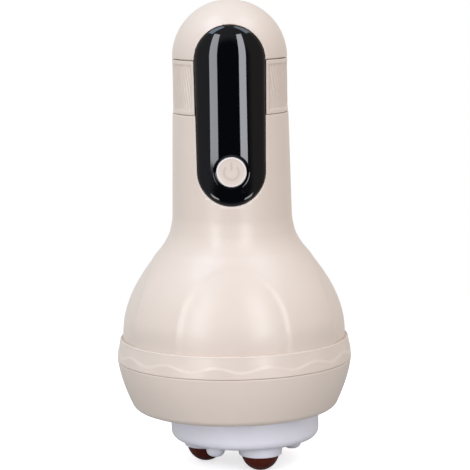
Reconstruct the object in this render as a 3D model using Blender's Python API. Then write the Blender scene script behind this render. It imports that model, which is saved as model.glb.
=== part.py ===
"""Handheld abdominal massager: a domed handle on a bell housing, with an orbiting head of three balls.

Metres, +Z up. The origin is on the axis of the handle, at the level of the balls' lowest points.
The front, with the panel and the button, faces -Y.
"""
import math

import bmesh
import bpy
from mathutils import Matrix, Vector

# Clearances
SEAT_GAP = 0.0003
CUT_OVERRUN = 0.0020
FUSE_DEPTH = 0.0006
FACE_STEP = 0.00005
MERGE_DISTANCE = 0.0000005
FLAT_ANGLE = math.radians(0.05)

# Numbers of facets round a turn
FACETS_SHELL = 36
FACETS_INNER = 20
FACETS_HANDLE = 28
FACETS_HEAD = 28
FACETS_PART = 14
FACETS_SMALL = 8
FACETS_SCREW = 6

# Levels of the housing, from the floor up
BALL_RADIUS = 0.0100
DISC_RISE = 0.0040
DISC_HEIGHT = 0.0143
HEAD_GAP = 0.0012
DISC_Z = BALL_RADIUS + DISC_RISE
BASE_HEIGHT = DISC_Z + DISC_HEIGHT + HEAD_GAP
LOWER_SHELL_HEIGHT = 0.0273
BAND_HEIGHT = 0.0110
BELL_HEIGHT = 0.0662
NECK_HEIGHT = 0.0531
RING_HEIGHT = 0.0286
SEAM_Z = BASE_HEIGHT + LOWER_SHELL_HEIGHT
SEAM_TOP_Z = SEAM_Z + SEAT_GAP / 2
SEAM_FOOT_Z = SEAM_Z - SEAT_GAP / 2
LIP_Z = SEAM_Z + BAND_HEIGHT
NECK_FOOT_Z = LIP_Z + BELL_HEIGHT
NECK_TOP_Z = NECK_FOOT_Z + NECK_HEIGHT
CAP_Z = NECK_TOP_Z + RING_HEIGHT

# Radii of the housing
HANDLE_RADIUS = 0.0300
NECK_STEP = 0.0003
NECK_FLARE = 0.0011
NECK_TOP_RADIUS = HANDLE_RADIUS + NECK_STEP
NECK_FOOT_RADIUS = NECK_TOP_RADIUS + NECK_FLARE
CHASSIS_RADIUS = 0.0390
BASE_SCREW_ROOM = 0.0065
BAND_MARGIN = 0.0164
LIP_STEP = 0.0015
BELL_FOOT_STEP = 0.0010
BASE_SCREW_RING = CHASSIS_RADIUS + BASE_SCREW_ROOM
BAND_RADIUS = BASE_SCREW_RING + BAND_MARGIN
LIP_RADIUS = BAND_RADIUS - LIP_STEP
BELL_FOOT_RADIUS = LIP_RADIUS - BELL_FOOT_STEP
SHELL_WALL = 0.0026
SEAM_CHAMFER = 0.0004

# Bell outline between neck and band: how far down, how far out
BELL_OUTLINE_SHARES = (
    (0.00, 0.000), (0.13, 0.048), (0.20, 0.115), (0.27, 0.222), (0.33, 0.340), (0.46, 0.574),
    (0.59, 0.764), (0.72, 0.898), (0.85, 0.977), (1.00, 1.000),
)

# Lower shell outline between seam and corner: how far down, how far in
LOWER_OUTLINE_SHARES = ((0.00, 0.000), (0.28, 0.180), (0.55, 0.430), (0.80, 0.725))
LOWER_TUCK = 0.0067
LOWER_FOOT_RADIUS = BAND_RADIUS - LOWER_TUCK
CORNER_RADIUS = 0.0058
CORNER_DRAFT = math.radians(24)
CORNER_STEPS = 3
BASE_WALL = 0.0025
HEAD_OPENING_RADIUS = 0.0190

# Rabbet that joins the two housings
TONGUE_WALL = 0.0011
TONGUE_HEIGHT = 0.0020
TONGUE_INNER_RADIUS = BAND_RADIUS - SHELL_WALL - SEAT_GAP
TONGUE_RADIUS = TONGUE_INNER_RADIUS + TONGUE_WALL

# Wavy band round the foot of the bell
WAVE_COUNT = 14
WAVE_STEPS = 4
WAVE_HEIGHT = 0.0016
WAVE_RISE = 0.0048
WAVE_SLOPE = 0.0009
WAVE_VALLEY_DEPTH = 0.0011
WAVE_RIDGE_DROP = 0.0002
WAVE_FIRST_CREST = math.radians(-9.3)
LIP_ROUND = 0.0006

# Arch recesses in the bell
ARCH_COUNT = 4
ARCH_DEPTH = 0.0006
ARCH_FOOT_RISE = 0.0008
ARCH_HEIGHT = 0.0434
ARCH_HALF_ANGLE = math.radians(29)
ARCH_POWER = 4
ARCH_ROWS = 6
ARCH_COLUMNS = 5

# Inner sleeve of the handle, which carries ring, cap and panel
SLEEVE_DROP = 0.0027
SLEEVE_RADIUS = HANDLE_RADIUS - SLEEVE_DROP
SLEEVE_WALL = 0.0021
SLEEVE_LAP = 0.0090
SLEEVE_CONE = 0.0040
SLEEVE_DOME_ANGLE = math.radians(45)
DOME_STEP = math.radians(15)
NECK_BORE_DROP = 0.0020
NECK_BORE_RADIUS = HANDLE_RADIUS - NECK_BORE_DROP
BATTERY_STOP_RISE = 0.0040

# Ribbed grip ring
RIB_COUNT = 80
RIB_DEPTH = 0.0004
RIB_INSET = 0.0002
RIB_LEAN = math.radians(-11)
RING_BORDER = 0.0021
RING_SIDE_BORDER = 0.0018

# Top cap
CAP_ROWS = 7

# Panel in the front of the handle
PANEL_TOP_SHARE = 0.6033
PANEL_FOOT_SHARE = 0.5833
PANEL_TOP_RADIUS = HANDLE_RADIUS * PANEL_TOP_SHARE
PANEL_FOOT_RADIUS = HANDLE_RADIUS * PANEL_FOOT_SHARE
PANEL_TOP_DROP = 0.0004
PANEL_FOOT_DROP = 0.0285
PANEL_RECESS = 0.0002
PANEL_BEVEL = 0.0009
PANEL_BEVEL_DEPTH = 0.0006
PANEL_ARC_STEPS = 12
PANEL_COLUMNS = 4
PANEL_ROWS = 5
CHANNEL_WALL = 0.0026
DISH_RADIUS = 0.0112
DISH_DEPTH = 0.0009

# Power button
BUTTON_RADIUS = 0.00775
BUTTON_TRAVEL = 0.0006
BUTTON_PROUD = 0.0003
BUTTON_CAP_THICKNESS = 0.0018
BUTTON_WALL = 0.0014
BUTTON_FLANGE_RADIUS = 0.0095
BUTTON_FLANGE_THICKNESS = 0.0010
BUTTON_EDGE = 0.0005
BUTTON_STEM_RADIUS = 0.0020

# Control board with display and switch
BOARD_SET_BACK = 0.0094
BOARD_FRONT_RADIUS = HANDLE_RADIUS - BOARD_SET_BACK
BOARD_THICKNESS = 0.0016
BOARD_WIDTH_SHARE = 0.90
BOARD_WIDTH = HANDLE_RADIUS * BOARD_WIDTH_SHARE
BOARD_OVERLAP = 0.0120
BOARD_TOP_DROP = 0.0010
BOARD_SUPPORT_INSET = 0.0040
BOARD_PEG_RADIUS = 0.0010
BOARD_PEG_HEIGHT = 0.0006
STANDOFF_RADIUS = 0.0026
DISPLAY_WIDTH = 0.0170
DISPLAY_HEIGHT = 0.0240
DISPLAY_RISE = 0.0080
SWITCH_SIDE = 0.0060
SWITCH_DEPTH = 0.0036
PLUNGER_RADIUS = 0.0017
PLUNGER_LENGTH = 0.0022

# Battery
CELL_RADIUS = 0.0092
CELL_LENGTH = 0.0650
CELL_SET_BACK = 0.0030
CELL_BUTTON_RADIUS = 0.0028
CELL_BUTTON_HEIGHT = 0.0008
STRIP_WIDTH = 0.0060
STRIP_THICKNESS = 0.0004
HOLDER_WALL = 0.0016
HOLDER_HEIGHT = 0.0220
HOLDER_FLOOR = 0.0020
LEAD_HOLE_RADIUS = 0.0045
LEAD_HOLE_DROP = 0.0125
LEAD_HOLE_RING = HANDLE_RADIUS - LEAD_HOLE_DROP

# Charging socket at the back
SOCKET_RISE = 0.0150
SOCKET_WIDTH = 0.0090
SOCKET_HEIGHT = 0.0032
SOCKET_DEPTH = 0.0073
SOCKET_WALL = 0.0004
SOCKET_SET_BACK = 0.0005
SOCKET_TONGUE = 0.0007
CHARGE_BOARD_WIDTH = 0.0170
CHARGE_BOARD_HEIGHT = 0.0130

# Screws
SCREW_RADIUS = 0.0015
SCREW_HEAD_RADIUS = 0.0028
SCREW_HEAD_HEIGHT = 0.0017
SCREW_HOLE_RADIUS = SCREW_RADIUS + SEAT_GAP
BOSS_WALL = 0.0022

# Housing screws, put in from below
BASE_SCREW_COUNT = 4
BASE_SCREW_LENGTH = 0.0160
WELL_RADIUS = 0.0035
WELL_WALL = 0.0016
WELL_SEAT_DROP = 0.0070
HOUSING_BOSS_RADIUS = 0.0042

# Gear train of two like pairs
GEAR_MODULE = 0.0010
GEAR_TEETH = 36
PINION_TEETH = 12
GEAR_TIP_SHARE = 0.75
PINION_TIP_SHARE = 1.10
ROOT_SHARE = 1.25
PRESSURE_ANGLE = math.radians(20)
BACKLASH = 0.0003
GEAR_FACE = 0.0050
FAST_GEAR_FACE = 0.0040
GEAR_TOP_ROOM = 0.0012
PINION_OVERHANG = 0.0003

# Head drive
CRANK_DISC_RISE = 0.0040
CRANK_DISC_THICKNESS = 0.0026
CRANK_DISC_RADIUS = 0.0120
ECCENTRICITY = 0.0050
SHAFT_RADIUS = 0.0050
CRANK_PIN_RADIUS = 0.0037
WEIGHT_RADIUS = 0.0240
WEIGHT_HUB_RADIUS = 0.0090
WEIGHT_THICKNESS = 0.0025
WEIGHT_DROP = 0.0024
WEIGHT_HALF_ANGLE = math.radians(80)
BUSH_WALL = 0.0024
BUSH_FLANGE_RADIUS = 0.0098
BUSH_FLANGE_THICKNESS = 0.0012
BUSH_LENGTH = 0.0094

# Chassis and gear cover
CHASSIS_RISE = 0.0122
CHASSIS_THICKNESS = 0.0025
CHASSIS_LOBE_RADIUS = 0.0245
CHASSIS_BOSS_INSET = 0.0050
CHASSIS_BOSS_RING = CHASSIS_RADIUS - CHASSIS_BOSS_INSET
CHASSIS_BOSS_RADIUS = 0.0040
CHASSIS_PEG_RADIUS = 0.0018
CHASSIS_BOSS_ANGLES = tuple(math.radians(angle) for angle in (30, 150, 210, 330))
LAY_PIN_RADIUS = 0.0025
LAY_BOSS_RADIUS = 0.0050
LAY_BOSS_DROP = 0.0018
LAY_PIN_SEAT = 0.0010
GEAR_COVER_WALL = 0.0020
GEAR_COVER_ROOM = 0.0010
GEAR_COVER_ARC_STEPS = 9

# Motor
MOTOR_RADIUS = 0.0180
MOTOR_LENGTH = 0.0460
MOTOR_EDGE = 0.0015
MOTOR_BOSS_RADIUS = 0.0065
MOTOR_BOSS_HEIGHT = 0.0020
MOTOR_END_THICKNESS = 0.0040
MOTOR_END_BOSS_RADIUS = 0.0050
MOTOR_END_BOSS_HEIGHT = 0.0026
MOTOR_SHAFT_RADIUS = 0.0016
MOTOR_SHAFT_LENGTH = 0.0200
TERMINAL_RING = 0.0105
TERMINAL_WIDTH = 0.0028
TERMINAL_THICKNESS = 0.0005
TERMINAL_HEIGHT = 0.0050
LEAD_RADIUS = 0.0008

# Massage head
DISC_RADIUS = 0.03925
DISC_WALL = 0.0024
DISC_FLOOR = 0.0022
DISC_EDGE_RADIUS = 0.0046
DISC_EDGE_STEPS = 3
DISC_TOP_EDGE = 0.0006
HEAD_PLATE_THICKNESS = 0.0025
HEAD_PLATE_DROP = 0.0004
BEARING_RADIUS = 0.0110
BEARING_BORE_RADIUS = 0.0040
BEARING_WIDTH = 0.0070
BEARING_RACE = 0.0016
BEARING_SHIELD_DEPTH = 0.0004
HUB_WALL = 0.0021
HUB_FLOOR = 0.0016
HUB_LIP_WIDTH = 0.0028
HUB_TOP_GAP = 0.0014
WASHER_RADIUS = 0.0054
WASHER_THICKNESS = 0.0009
PIN_SCREW_LENGTH = 0.0070
SCREW_CAP_THICKNESS = 0.0010
SCREW_CAP_STEP = 0.0018
SCREW_CAP_PLUG_WALL = 0.0012
SCREW_CAP_PLUG_HEIGHT = 0.0022
HEAD_SCREW_INSET = 0.00775
HEAD_SCREW_RING = DISC_RADIUS - HEAD_SCREW_INSET
HEAD_SCREW_LENGTH = 0.0069
HEAD_BOSS_RADIUS = 0.0034

# Balls, collars and nubs
BALL_COUNT = 3
BALL_GAP = 0.0005
BALL_RING_SHARE = 0.5427
BALL_RING = DISC_RADIUS * BALL_RING_SHARE
BALL_FIRST_ANGLE = math.radians(-68.7)
BALL_COLUMNS = 14
BALL_ROWS = 8
COLLAR_MOUTH_DROP = 0.0030
COLLAR_WALL = 0.0009
COLLAR_FLARE = 0.0012
COLLAR_MOUTH_RADIUS = BALL_RADIUS + COLLAR_WALL
COLLAR_FOOT_RADIUS = COLLAR_MOUTH_RADIUS + COLLAR_FLARE
SCREW_CAP_MARGIN = 0.0012
SCREW_CAP_RADIUS = BALL_RING - COLLAR_FOOT_RADIUS - SCREW_CAP_MARGIN
SCREW_CAP_PLUG_RADIUS = SCREW_CAP_RADIUS - SCREW_CAP_STEP
BALL_SEAT_LAP = 0.0015
BALL_SEAT_RADIUS = BALL_RADIUS + BALL_SEAT_LAP
BALL_SEAT_CROWN = 0.0016
BALL_SEAT_SINK = 0.0011
BALL_SEAT_STEPS = 3
PRESS_POST_RADIUS = 0.0045
NUB_RING_SHARE = 0.6395
NUB_RING = DISC_RADIUS * NUB_RING_SHARE
NUB_RADIUS = 0.0050
NUB_HEIGHT = 0.0034
NUB_STEPS = 3

# Levels and radii that follow from the sizes above
WAVE_Z = SEAM_Z + WAVE_RISE
ARCH_FOOT_Z = LIP_Z + ARCH_FOOT_RISE
ARCH_TOP_Z = LIP_Z + ARCH_HEIGHT
SLEEVE_FOOT_Z = NECK_TOP_Z - SLEEVE_LAP
SLEEVE_BORE_RADIUS = SLEEVE_RADIUS - SLEEVE_WALL
BATTERY_STOP_Z = NECK_FOOT_Z + BATTERY_STOP_RISE
RING_Z = NECK_TOP_Z + SEAT_GAP
RING_TOP_Z = CAP_Z - SEAT_GAP
RING_BORE_RADIUS = SLEEVE_RADIUS + SEAT_GAP
RIB_FOOT_Z = RING_Z + RING_BORDER
RIB_TOP_Z = RING_TOP_Z - RING_BORDER
PANEL_TOP_Z = CAP_Z - PANEL_TOP_DROP
PANEL_FOOT_Z = NECK_TOP_Z - PANEL_FOOT_DROP
BOARD_FRONT_Y = -BOARD_FRONT_RADIUS
BOARD_BACK_Y = BOARD_FRONT_Y + BOARD_THICKNESS
BOARD_FOOT_Z = PANEL_FOOT_Z - BOARD_OVERLAP
BOARD_TOP_Z = CAP_Z - BOARD_TOP_DROP
DISPLAY_Z = NECK_TOP_Z + DISPLAY_RISE
SWITCH_FRONT_Y = BOARD_FRONT_Y - SEAT_GAP - SWITCH_DEPTH
PLUNGER_TIP_Y = SWITCH_FRONT_Y - PLUNGER_LENGTH / 2
BUTTON_FACE_Y = -HANDLE_RADIUS - BUTTON_PROUD
BUTTON_FLANGE_Y = BOARD_FRONT_Y - SEAT_GAP - BUTTON_TRAVEL - BUTTON_FLANGE_THICKNESS
BUTTON_PIVOT = (0.0, BUTTON_FACE_Y, PANEL_FOOT_Z)
SOCKET_Z = NECK_FOOT_Z + SOCKET_RISE
BATTERY_Z = BATTERY_STOP_Z - SEAT_GAP - HOLDER_FLOOR / 2
BATTERY_TOP_Z = BATTERY_Z + CELL_LENGTH
CELL_X = CELL_RADIUS + SEAT_GAP
BASE_INNER_Z = BASE_HEIGHT + BASE_WALL
WELL_SEAT_Z = SEAM_Z - WELL_SEAT_DROP
BASE_SCREW_SEAT_Z = WELL_SEAT_Z - SEAT_GAP
CRANK_DISC_Z = BASE_HEIGHT + CRANK_DISC_RISE
CRANK_DISC_TOP_Z = CRANK_DISC_Z + CRANK_DISC_THICKNESS
WEIGHT_Z = CRANK_DISC_TOP_Z + SEAT_GAP
WEIGHT_TOP_Z = WEIGHT_Z + WEIGHT_THICKNESS
BUSH_Z = WEIGHT_TOP_Z + SEAT_GAP
BUSH_TOP_Z = BUSH_Z + BUSH_LENGTH
BUSH_BORE_RADIUS = SHAFT_RADIUS + SEAT_GAP
BUSH_RADIUS = BUSH_BORE_RADIUS + BUSH_WALL
CHASSIS_Z = BASE_HEIGHT + CHASSIS_RISE
CHASSIS_TOP_Z = CHASSIS_Z + CHASSIS_THICKNESS
GEAR_CENTRES = GEAR_MODULE * (GEAR_TEETH + PINION_TEETH) / 2
OUTPUT_GEAR_Z = BUSH_TOP_Z + SEAT_GAP
OUTPUT_GEAR_TOP_Z = OUTPUT_GEAR_Z + GEAR_FACE
SHAFT_TOP_Z = OUTPUT_GEAR_TOP_Z + SEAT_GAP
LAY_GEAR_Z = SHAFT_TOP_Z + GEAR_TOP_ROOM
LAY_GEAR_TOP_Z = LAY_GEAR_Z + FAST_GEAR_FACE
LAY_HUB_TOP_Z = LAY_GEAR_TOP_Z + GEAR_TOP_ROOM - SEAT_GAP
GEAR_COVER_Z = CHASSIS_TOP_Z + SEAT_GAP
GEAR_COVER_CEILING_Z = LAY_GEAR_TOP_Z + GEAR_TOP_ROOM
GEAR_COVER_TOP_Z = GEAR_COVER_CEILING_Z + GEAR_COVER_WALL
GEAR_ROOM_RADIUS = GEAR_MODULE * (GEAR_TEETH / 2 + GEAR_TIP_SHARE) + GEAR_COVER_ROOM
MOTOR_Z = GEAR_COVER_TOP_Z + SEAT_GAP
MOTOR_TOP_Z = MOTOR_Z + MOTOR_LENGTH
MOTOR_END_Z = MOTOR_TOP_Z + SEAT_GAP
MOTOR_END_TOP_Z = MOTOR_END_Z + MOTOR_END_THICKNESS
MOTOR_SHAFT_TOP_Z = LAY_GEAR_Z + MOTOR_SHAFT_LENGTH
DISC_FLOOR_Z = DISC_Z + DISC_FLOOR
DISC_TOP_Z = DISC_Z + DISC_HEIGHT
DISC_BORE_RADIUS = DISC_RADIUS - DISC_WALL
HEAD_PLATE_TOP_Z = DISC_TOP_Z - HEAD_PLATE_DROP
HEAD_PLATE_Z = HEAD_PLATE_TOP_Z - HEAD_PLATE_THICKNESS
HEAD_SCREW_SEAT_Z = HEAD_PLATE_TOP_Z - SCREW_HEAD_HEIGHT
HUB_TOP_Z = CRANK_DISC_Z - HUB_TOP_GAP
HUB_BORE_RADIUS = BEARING_RADIUS + SEAT_GAP
BEARING_TOP_Z = HUB_TOP_Z - SEAT_GAP
BEARING_Z = BEARING_TOP_Z - BEARING_WIDTH
HUB_FLOOR_Z = BEARING_Z - SEAT_GAP
HUB_Z = HUB_FLOOR_Z - HUB_FLOOR
CRANK_PIN_Z = BEARING_Z - SEAT_GAP
WASHER_TOP_Z = CRANK_PIN_Z - SEAT_GAP
WASHER_Z = WASHER_TOP_Z - WASHER_THICKNESS
BALL_POCKET_RADIUS = BALL_RADIUS + BALL_GAP
BALL_SEAT_Z = DISC_FLOOR_Z - BALL_SEAT_SINK
BALL_SEAT_TOP_Z = BALL_RADIUS + BALL_POCKET_RADIUS + BALL_SEAT_CROWN
HEAD_CENTRE = (ECCENTRICITY, 0.0)
HEAD_PIVOT = (*HEAD_CENTRE, 0.0)
LAY_CENTRE = (0.0, GEAR_CENTRES)


def clear_scene():
    """Removes whatever the scene holds."""
    for item in list(bpy.data.objects):
        bpy.data.objects.remove(item)


def finish(name, rgb, roughness, metallic=0.0):
    """A plain material for one sub-part."""
    material = bpy.data.materials.new(name)
    material.use_nodes = True
    shader = material.node_tree.nodes["Principled BSDF"]
    shader.inputs["Base Color"].default_value = (*rgb, 1.0)
    shader.inputs["Roughness"].default_value = roughness
    shader.inputs["Metallic"].default_value = metallic
    material.diffuse_color = (*rgb, 1.0)
    return material


def cream_plastic(name):
    return finish(name, (0.72, 0.62, 0.56), 0.38)


def white_plastic(name):
    return finish(name, (0.70, 0.70, 0.76), 0.35)


def grey_plastic(name):
    return finish(name, (0.16, 0.17, 0.18), 0.50)


def black_plastic(name):
    return finish(name, (0.02, 0.02, 0.02), 0.50)


def white_acetal(name):
    return finish(name, (0.80, 0.80, 0.78), 0.40)


def steel(name):
    return finish(name, (0.55, 0.55, 0.56), 0.30, 1.0)


def bronze(name):
    return finish(name, (0.55, 0.36, 0.18), 0.40, 1.0)


def circuit_board(name):
    return finish(name, (0.01, 0.10, 0.04), 0.45)


def add_object(name, bm, material=None, pivot=(0.0, 0.0, 0.0)):
    """Makes an object of a bmesh, with its origin at the pivot."""
    bmesh.ops.translate(bm, verts=bm.verts, vec=-Vector(pivot))
    mesh = bpy.data.meshes.new(name)
    bm.to_mesh(mesh)
    bm.free()
    if material:
        mesh.materials.append(material)
    obj = bpy.data.objects.new(name, mesh)
    obj.location = pivot
    bpy.context.scene.collection.objects.link(obj)
    return obj


def smooth(obj):
    """Merges doubled points and flat faces, shades the round faces smooth and keeps the sharp edges."""
    bm = bmesh.new()
    bm.from_mesh(obj.data)
    bmesh.ops.remove_doubles(bm, verts=bm.verts, dist=MERGE_DISTANCE)
    bmesh.ops.dissolve_limit(bm, angle_limit=FLAT_ANGLE, verts=bm.verts, edges=bm.edges)
    bm.to_mesh(obj.data)
    bm.free()
    obj.data.shade_smooth()
    obj.data.set_sharp_from_angle(angle=math.radians(32))


def combine(obj, bm, operation):
    """Applies a Boolean of the object with a solid."""
    tool = add_object("tool", bm)
    modifier = obj.modifiers.new("Combine", "BOOLEAN")
    modifier.operation = operation
    modifier.solver = "EXACT"
    modifier.object = tool
    bpy.context.view_layer.update()
    depsgraph = bpy.context.evaluated_depsgraph_get()
    result = bpy.data.meshes.new_from_object(obj.evaluated_get(depsgraph))
    obj.modifiers.clear()
    obj.data = result
    bpy.data.objects.remove(tool)


def cut(obj, bm):
    """Takes a solid away from the object."""
    combine(obj, bm, "DIFFERENCE")


def join(obj, bm):
    """Fuses a solid to the object."""
    combine(obj, bm, "UNION")


def combined(first, second, operation):
    """A Boolean of two solids, as a new bmesh."""
    obj = add_object("blank", first)
    combine(obj, second, operation)
    bm = bmesh.new()
    bm.from_mesh(obj.data)
    bpy.data.objects.remove(obj)
    return bm


def merged(solids):
    """Puts several solids into one bmesh."""
    whole = bmesh.new()
    for solid in solids:
        mesh = bpy.data.meshes.new("piece")
        solid.to_mesh(mesh)
        solid.free()
        whole.from_mesh(mesh)
        bpy.data.meshes.remove(mesh)
    return whole


def rim_edges(bm, point):
    """Edges of a turned skin that lie on the circle of one outline point."""
    radius, height = point
    level = {
        vert for vert in bm.verts
        if abs(vert.co.z - height) < MERGE_DISTANCE and abs(vert.co.xy.length - radius) < MERGE_DISTANCE
    }
    return [edge for edge in bm.edges if radius and edge.verts[0] in level and edge.verts[1] in level]


def skin(bm, profile, steps):
    """Turns an open outline of (radius, height) points; returns its first and last rims."""
    verts = [bm.verts.new((radius, 0.0, height)) for radius, height in profile]
    edges = [bm.edges.new(pair) for pair in zip(verts, verts[1:])]
    bmesh.ops.spin(bm, geom=verts + edges, cent=(0.0, 0.0, 0.0), axis=(0.0, 0.0, 1.0),
                   angle=math.tau, steps=steps, use_merge=True)
    return rim_edges(bm, profile[0]), rim_edges(bm, profile[-1])


def close_skins(bm, rims, centre=(0.0, 0.0)):
    """Bridges each skin's last rim to the next one's first, all the way round."""
    for (_, last), (first, _) in zip(rims, rims[1:] + rims[:1]):
        if last and first:
            bmesh.ops.bridge_loops(bm, edges=last + first)
    bmesh.ops.remove_doubles(bm, verts=bm.verts, dist=MERGE_DISTANCE)
    bmesh.ops.recalc_face_normals(bm, faces=bm.faces)
    bmesh.ops.translate(bm, verts=bm.verts, vec=(*centre, 0.0))


def turned(profile, steps, centre=(0.0, 0.0)):
    """A closed outline of (radius, height) points, turned about a vertical axis."""
    bm = bmesh.new()
    verts = [bm.verts.new((radius, 0.0, height)) for radius, height in profile]
    pairs = zip(verts, verts[1:] + verts[:1])
    edges = [bm.edges.new(pair) for pair in pairs if pair[0].co.x or pair[1].co.x]
    bmesh.ops.spin(bm, geom=verts + edges, cent=(0.0, 0.0, 0.0), axis=(0.0, 0.0, 1.0),
                   angle=math.tau, steps=steps, use_merge=True)
    close_skins(bm, [([], [])], centre)
    return bm


def sector(profile, steps, start, angle):
    """A closed outline of (radius, height) points, turned through a part of a turn."""
    bm = bmesh.new()
    face = bm.faces.new([bm.verts.new((radius, 0.0, height)) for radius, height in profile])
    bmesh.ops.rotate(bm, verts=bm.verts, cent=(0.0, 0.0, 0.0), matrix=Matrix.Rotation(start, 3, "Z"))
    bmesh.ops.spin(bm, geom=[face], cent=(0.0, 0.0, 0.0), axis=(0.0, 0.0, 1.0), angle=angle, steps=steps)
    bmesh.ops.recalc_face_normals(bm, faces=bm.faces)
    return bm


def rod(radius, low, high, steps, centre=(0.0, 0.0)):
    """An upright round bar."""
    return turned(((0.0, low), (radius, low), (radius, high), (0.0, high)), steps, centre)


def pipe(outer, inner, low, high, steps, centre=(0.0, 0.0)):
    """An upright round tube."""
    return turned(((inner, low), (outer, low), (outer, high), (inner, high)), steps, centre)


def lay_back(bm, at=(0.0, 0.0, 0.0)):
    """Lays an upright solid down, so that its height runs towards the back, from the point at."""
    bmesh.ops.rotate(bm, verts=bm.verts, cent=(0.0, 0.0, 0.0), matrix=Matrix.Rotation(-math.pi / 2, 3, "X"))
    bmesh.ops.translate(bm, verts=bm.verts, vec=at)
    return bm


def block(low, high):
    """A box between two corners."""
    bm = bmesh.new()
    bmesh.ops.create_cube(bm, size=1.0)
    size = Vector(high) - Vector(low)
    bmesh.ops.scale(bm, verts=bm.verts, vec=size)
    bmesh.ops.translate(bm, verts=bm.verts, vec=Vector(low) + size / 2)
    return bm


def prism(outline, low, high):
    """A flat outline of (x, y) points, extruded from low to high."""
    bm = bmesh.new()
    face = bm.faces.new([bm.verts.new((x, y, low)) for x, y in outline])
    top = bmesh.ops.extrude_face_region(bm, geom=[face])["geom"]
    raised = [item for item in top if isinstance(item, bmesh.types.BMVert)]
    bmesh.ops.translate(bm, verts=raised, vec=(0.0, 0.0, high - low))
    bmesh.ops.recalc_face_normals(bm, faces=bm.faces)
    return bm


def arc(centre, radius, start, end, steps):
    """Points on an arc."""
    turns = [start + (end - start) * step / steps for step in range(steps + 1)]
    return [(centre[0] + radius * math.cos(turn), centre[1] + radius * math.sin(turn)) for turn in turns]


def round_slot(first, first_radius, second, second_radius, steps):
    """An outline of two arcs and their common tangents; second lies at +Y of first."""
    lean = math.asin((first_radius - second_radius) / (second[1] - first[1]))
    lower = arc(first, first_radius, math.pi - lean, math.tau + lean, steps)
    upper = arc(second, second_radius, lean, math.pi - lean, steps)
    return lower + upper


def ring_places(radius, angles, centre=(0.0, 0.0)):
    """Points on a circle."""
    return [(centre[0] + radius * math.cos(angle), centre[1] + radius * math.sin(angle)) for angle in angles]


def ball_angles():
    """Directions of the balls from the middle of the head."""
    return [BALL_FIRST_ANGLE + math.tau * index / BALL_COUNT for index in range(BALL_COUNT)]


def nub_angles():
    """Directions of the nubs, half way between the balls."""
    return [angle + math.pi / BALL_COUNT for angle in ball_angles()]


def ball_places():
    return ring_places(BALL_RING, ball_angles(), HEAD_CENTRE)


def head_screw_places():
    return ring_places(HEAD_SCREW_RING, nub_angles(), HEAD_CENTRE)


def base_screw_places():
    angles = [math.tau * (index + 0.5) / BASE_SCREW_COUNT for index in range(BASE_SCREW_COUNT)]
    return ring_places(BASE_SCREW_RING, angles)


def chassis_boss_places():
    return ring_places(CHASSIS_BOSS_RING, CHASSIS_BOSS_ANGLES)


def board_support_places():
    """Where the control board is held, as (x, z)."""
    x = BOARD_WIDTH / 2 - BOARD_SUPPORT_INSET
    return [(-x, BOARD_FOOT_Z + BOARD_SUPPORT_INSET), (x, BOARD_TOP_Z - BOARD_SUPPORT_INSET)]


def charge_support_places():
    """Where the charging board is held, as (x, z)."""
    x = CHARGE_BOARD_WIDTH / 2 - STANDOFF_RADIUS
    z = SOCKET_Z - CHARGE_BOARD_HEIGHT / 2 + STANDOFF_RADIUS
    return [(-x, z), (x, z)]


def bell_profile():
    """Outer outline of the bell, from the neck's foot down to the lip."""
    width = BELL_FOOT_RADIUS - NECK_FOOT_RADIUS
    return [(NECK_FOOT_RADIUS + out * width, NECK_FOOT_Z - down * BELL_HEIGHT) for down, out in BELL_OUTLINE_SHARES]


def radius_at(outline, height):
    """Radius at a height, on an outline that runs from high to low."""
    for (top_radius, top), (low_radius, low) in zip(outline, outline[1:]):
        if low <= height <= top:
            return low_radius + (top_radius - low_radius) * (height - low) / (top - low)
    return outline[0][0] if height > outline[0][1] else outline[-1][0]


def front_y(x, z, inset):
    """Depth of the handle's front, moved inwards by an inset: neck, ring and then the dome."""
    rise = max(z - CAP_Z, 0.0)
    neck = [(NECK_TOP_RADIUS, NECK_TOP_Z), (NECK_FOOT_RADIUS, NECK_FOOT_Z)]
    radius = (HANDLE_RADIUS if z > NECK_TOP_Z else radius_at(neck, z)) - inset
    return -math.sqrt(max(radius ** 2 - x ** 2 - rise ** 2, 0.0))


def inwards(outline, wall):
    """The outline moved inwards, square to itself, by the wall."""
    moved = []
    for index, (radius, height) in enumerate(outline):
        before = outline[max(index - 1, 0)]
        after = outline[min(index + 1, len(outline) - 1)]
        along = Vector((after[0] - before[0], after[1] - before[1])).normalized()
        moved.append((radius + along.y * wall, height - along.x * wall))
    return moved


def lower_profile():
    """Outer outline of the lower shell, from below the seam to the flat base."""
    corner = (LOWER_FOOT_RADIUS - CORNER_RADIUS, BASE_HEIGHT + CORNER_RADIUS)
    bend = arc(corner, CORNER_RADIUS, -CORNER_DRAFT, -math.pi / 2, CORNER_STEPS)
    start_z = SEAM_FOOT_Z - SEAM_CHAMFER
    width = BAND_RADIUS - bend[0][0]
    depth = start_z - bend[0][1]
    side = [(BAND_RADIUS - inward * width, start_z - down * depth) for down, inward in LOWER_OUTLINE_SHARES]
    return side + bend


def panel_outline(grow):
    """Front view of the panel as (x, z) points, grown by a margin."""
    low = (0.0, PANEL_FOOT_Z)
    high = (0.0, PANEL_TOP_Z)
    return round_slot(low, PANEL_FOOT_RADIUS + grow, high, PANEL_TOP_RADIUS + grow, PANEL_ARC_STEPS)


def panel_prism(grow):
    """A solid with the panel's outline, from the axis to past the front of the handle."""
    bm = prism([(x, z) for x, z in panel_outline(grow)], 0.0, NECK_FOOT_RADIUS + CUT_OVERRUN)
    bmesh.ops.rotate(bm, verts=bm.verts, cent=(0.0, 0.0, 0.0), matrix=Matrix.Rotation(math.pi / 2, 3, "X"))
    return bm


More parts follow.
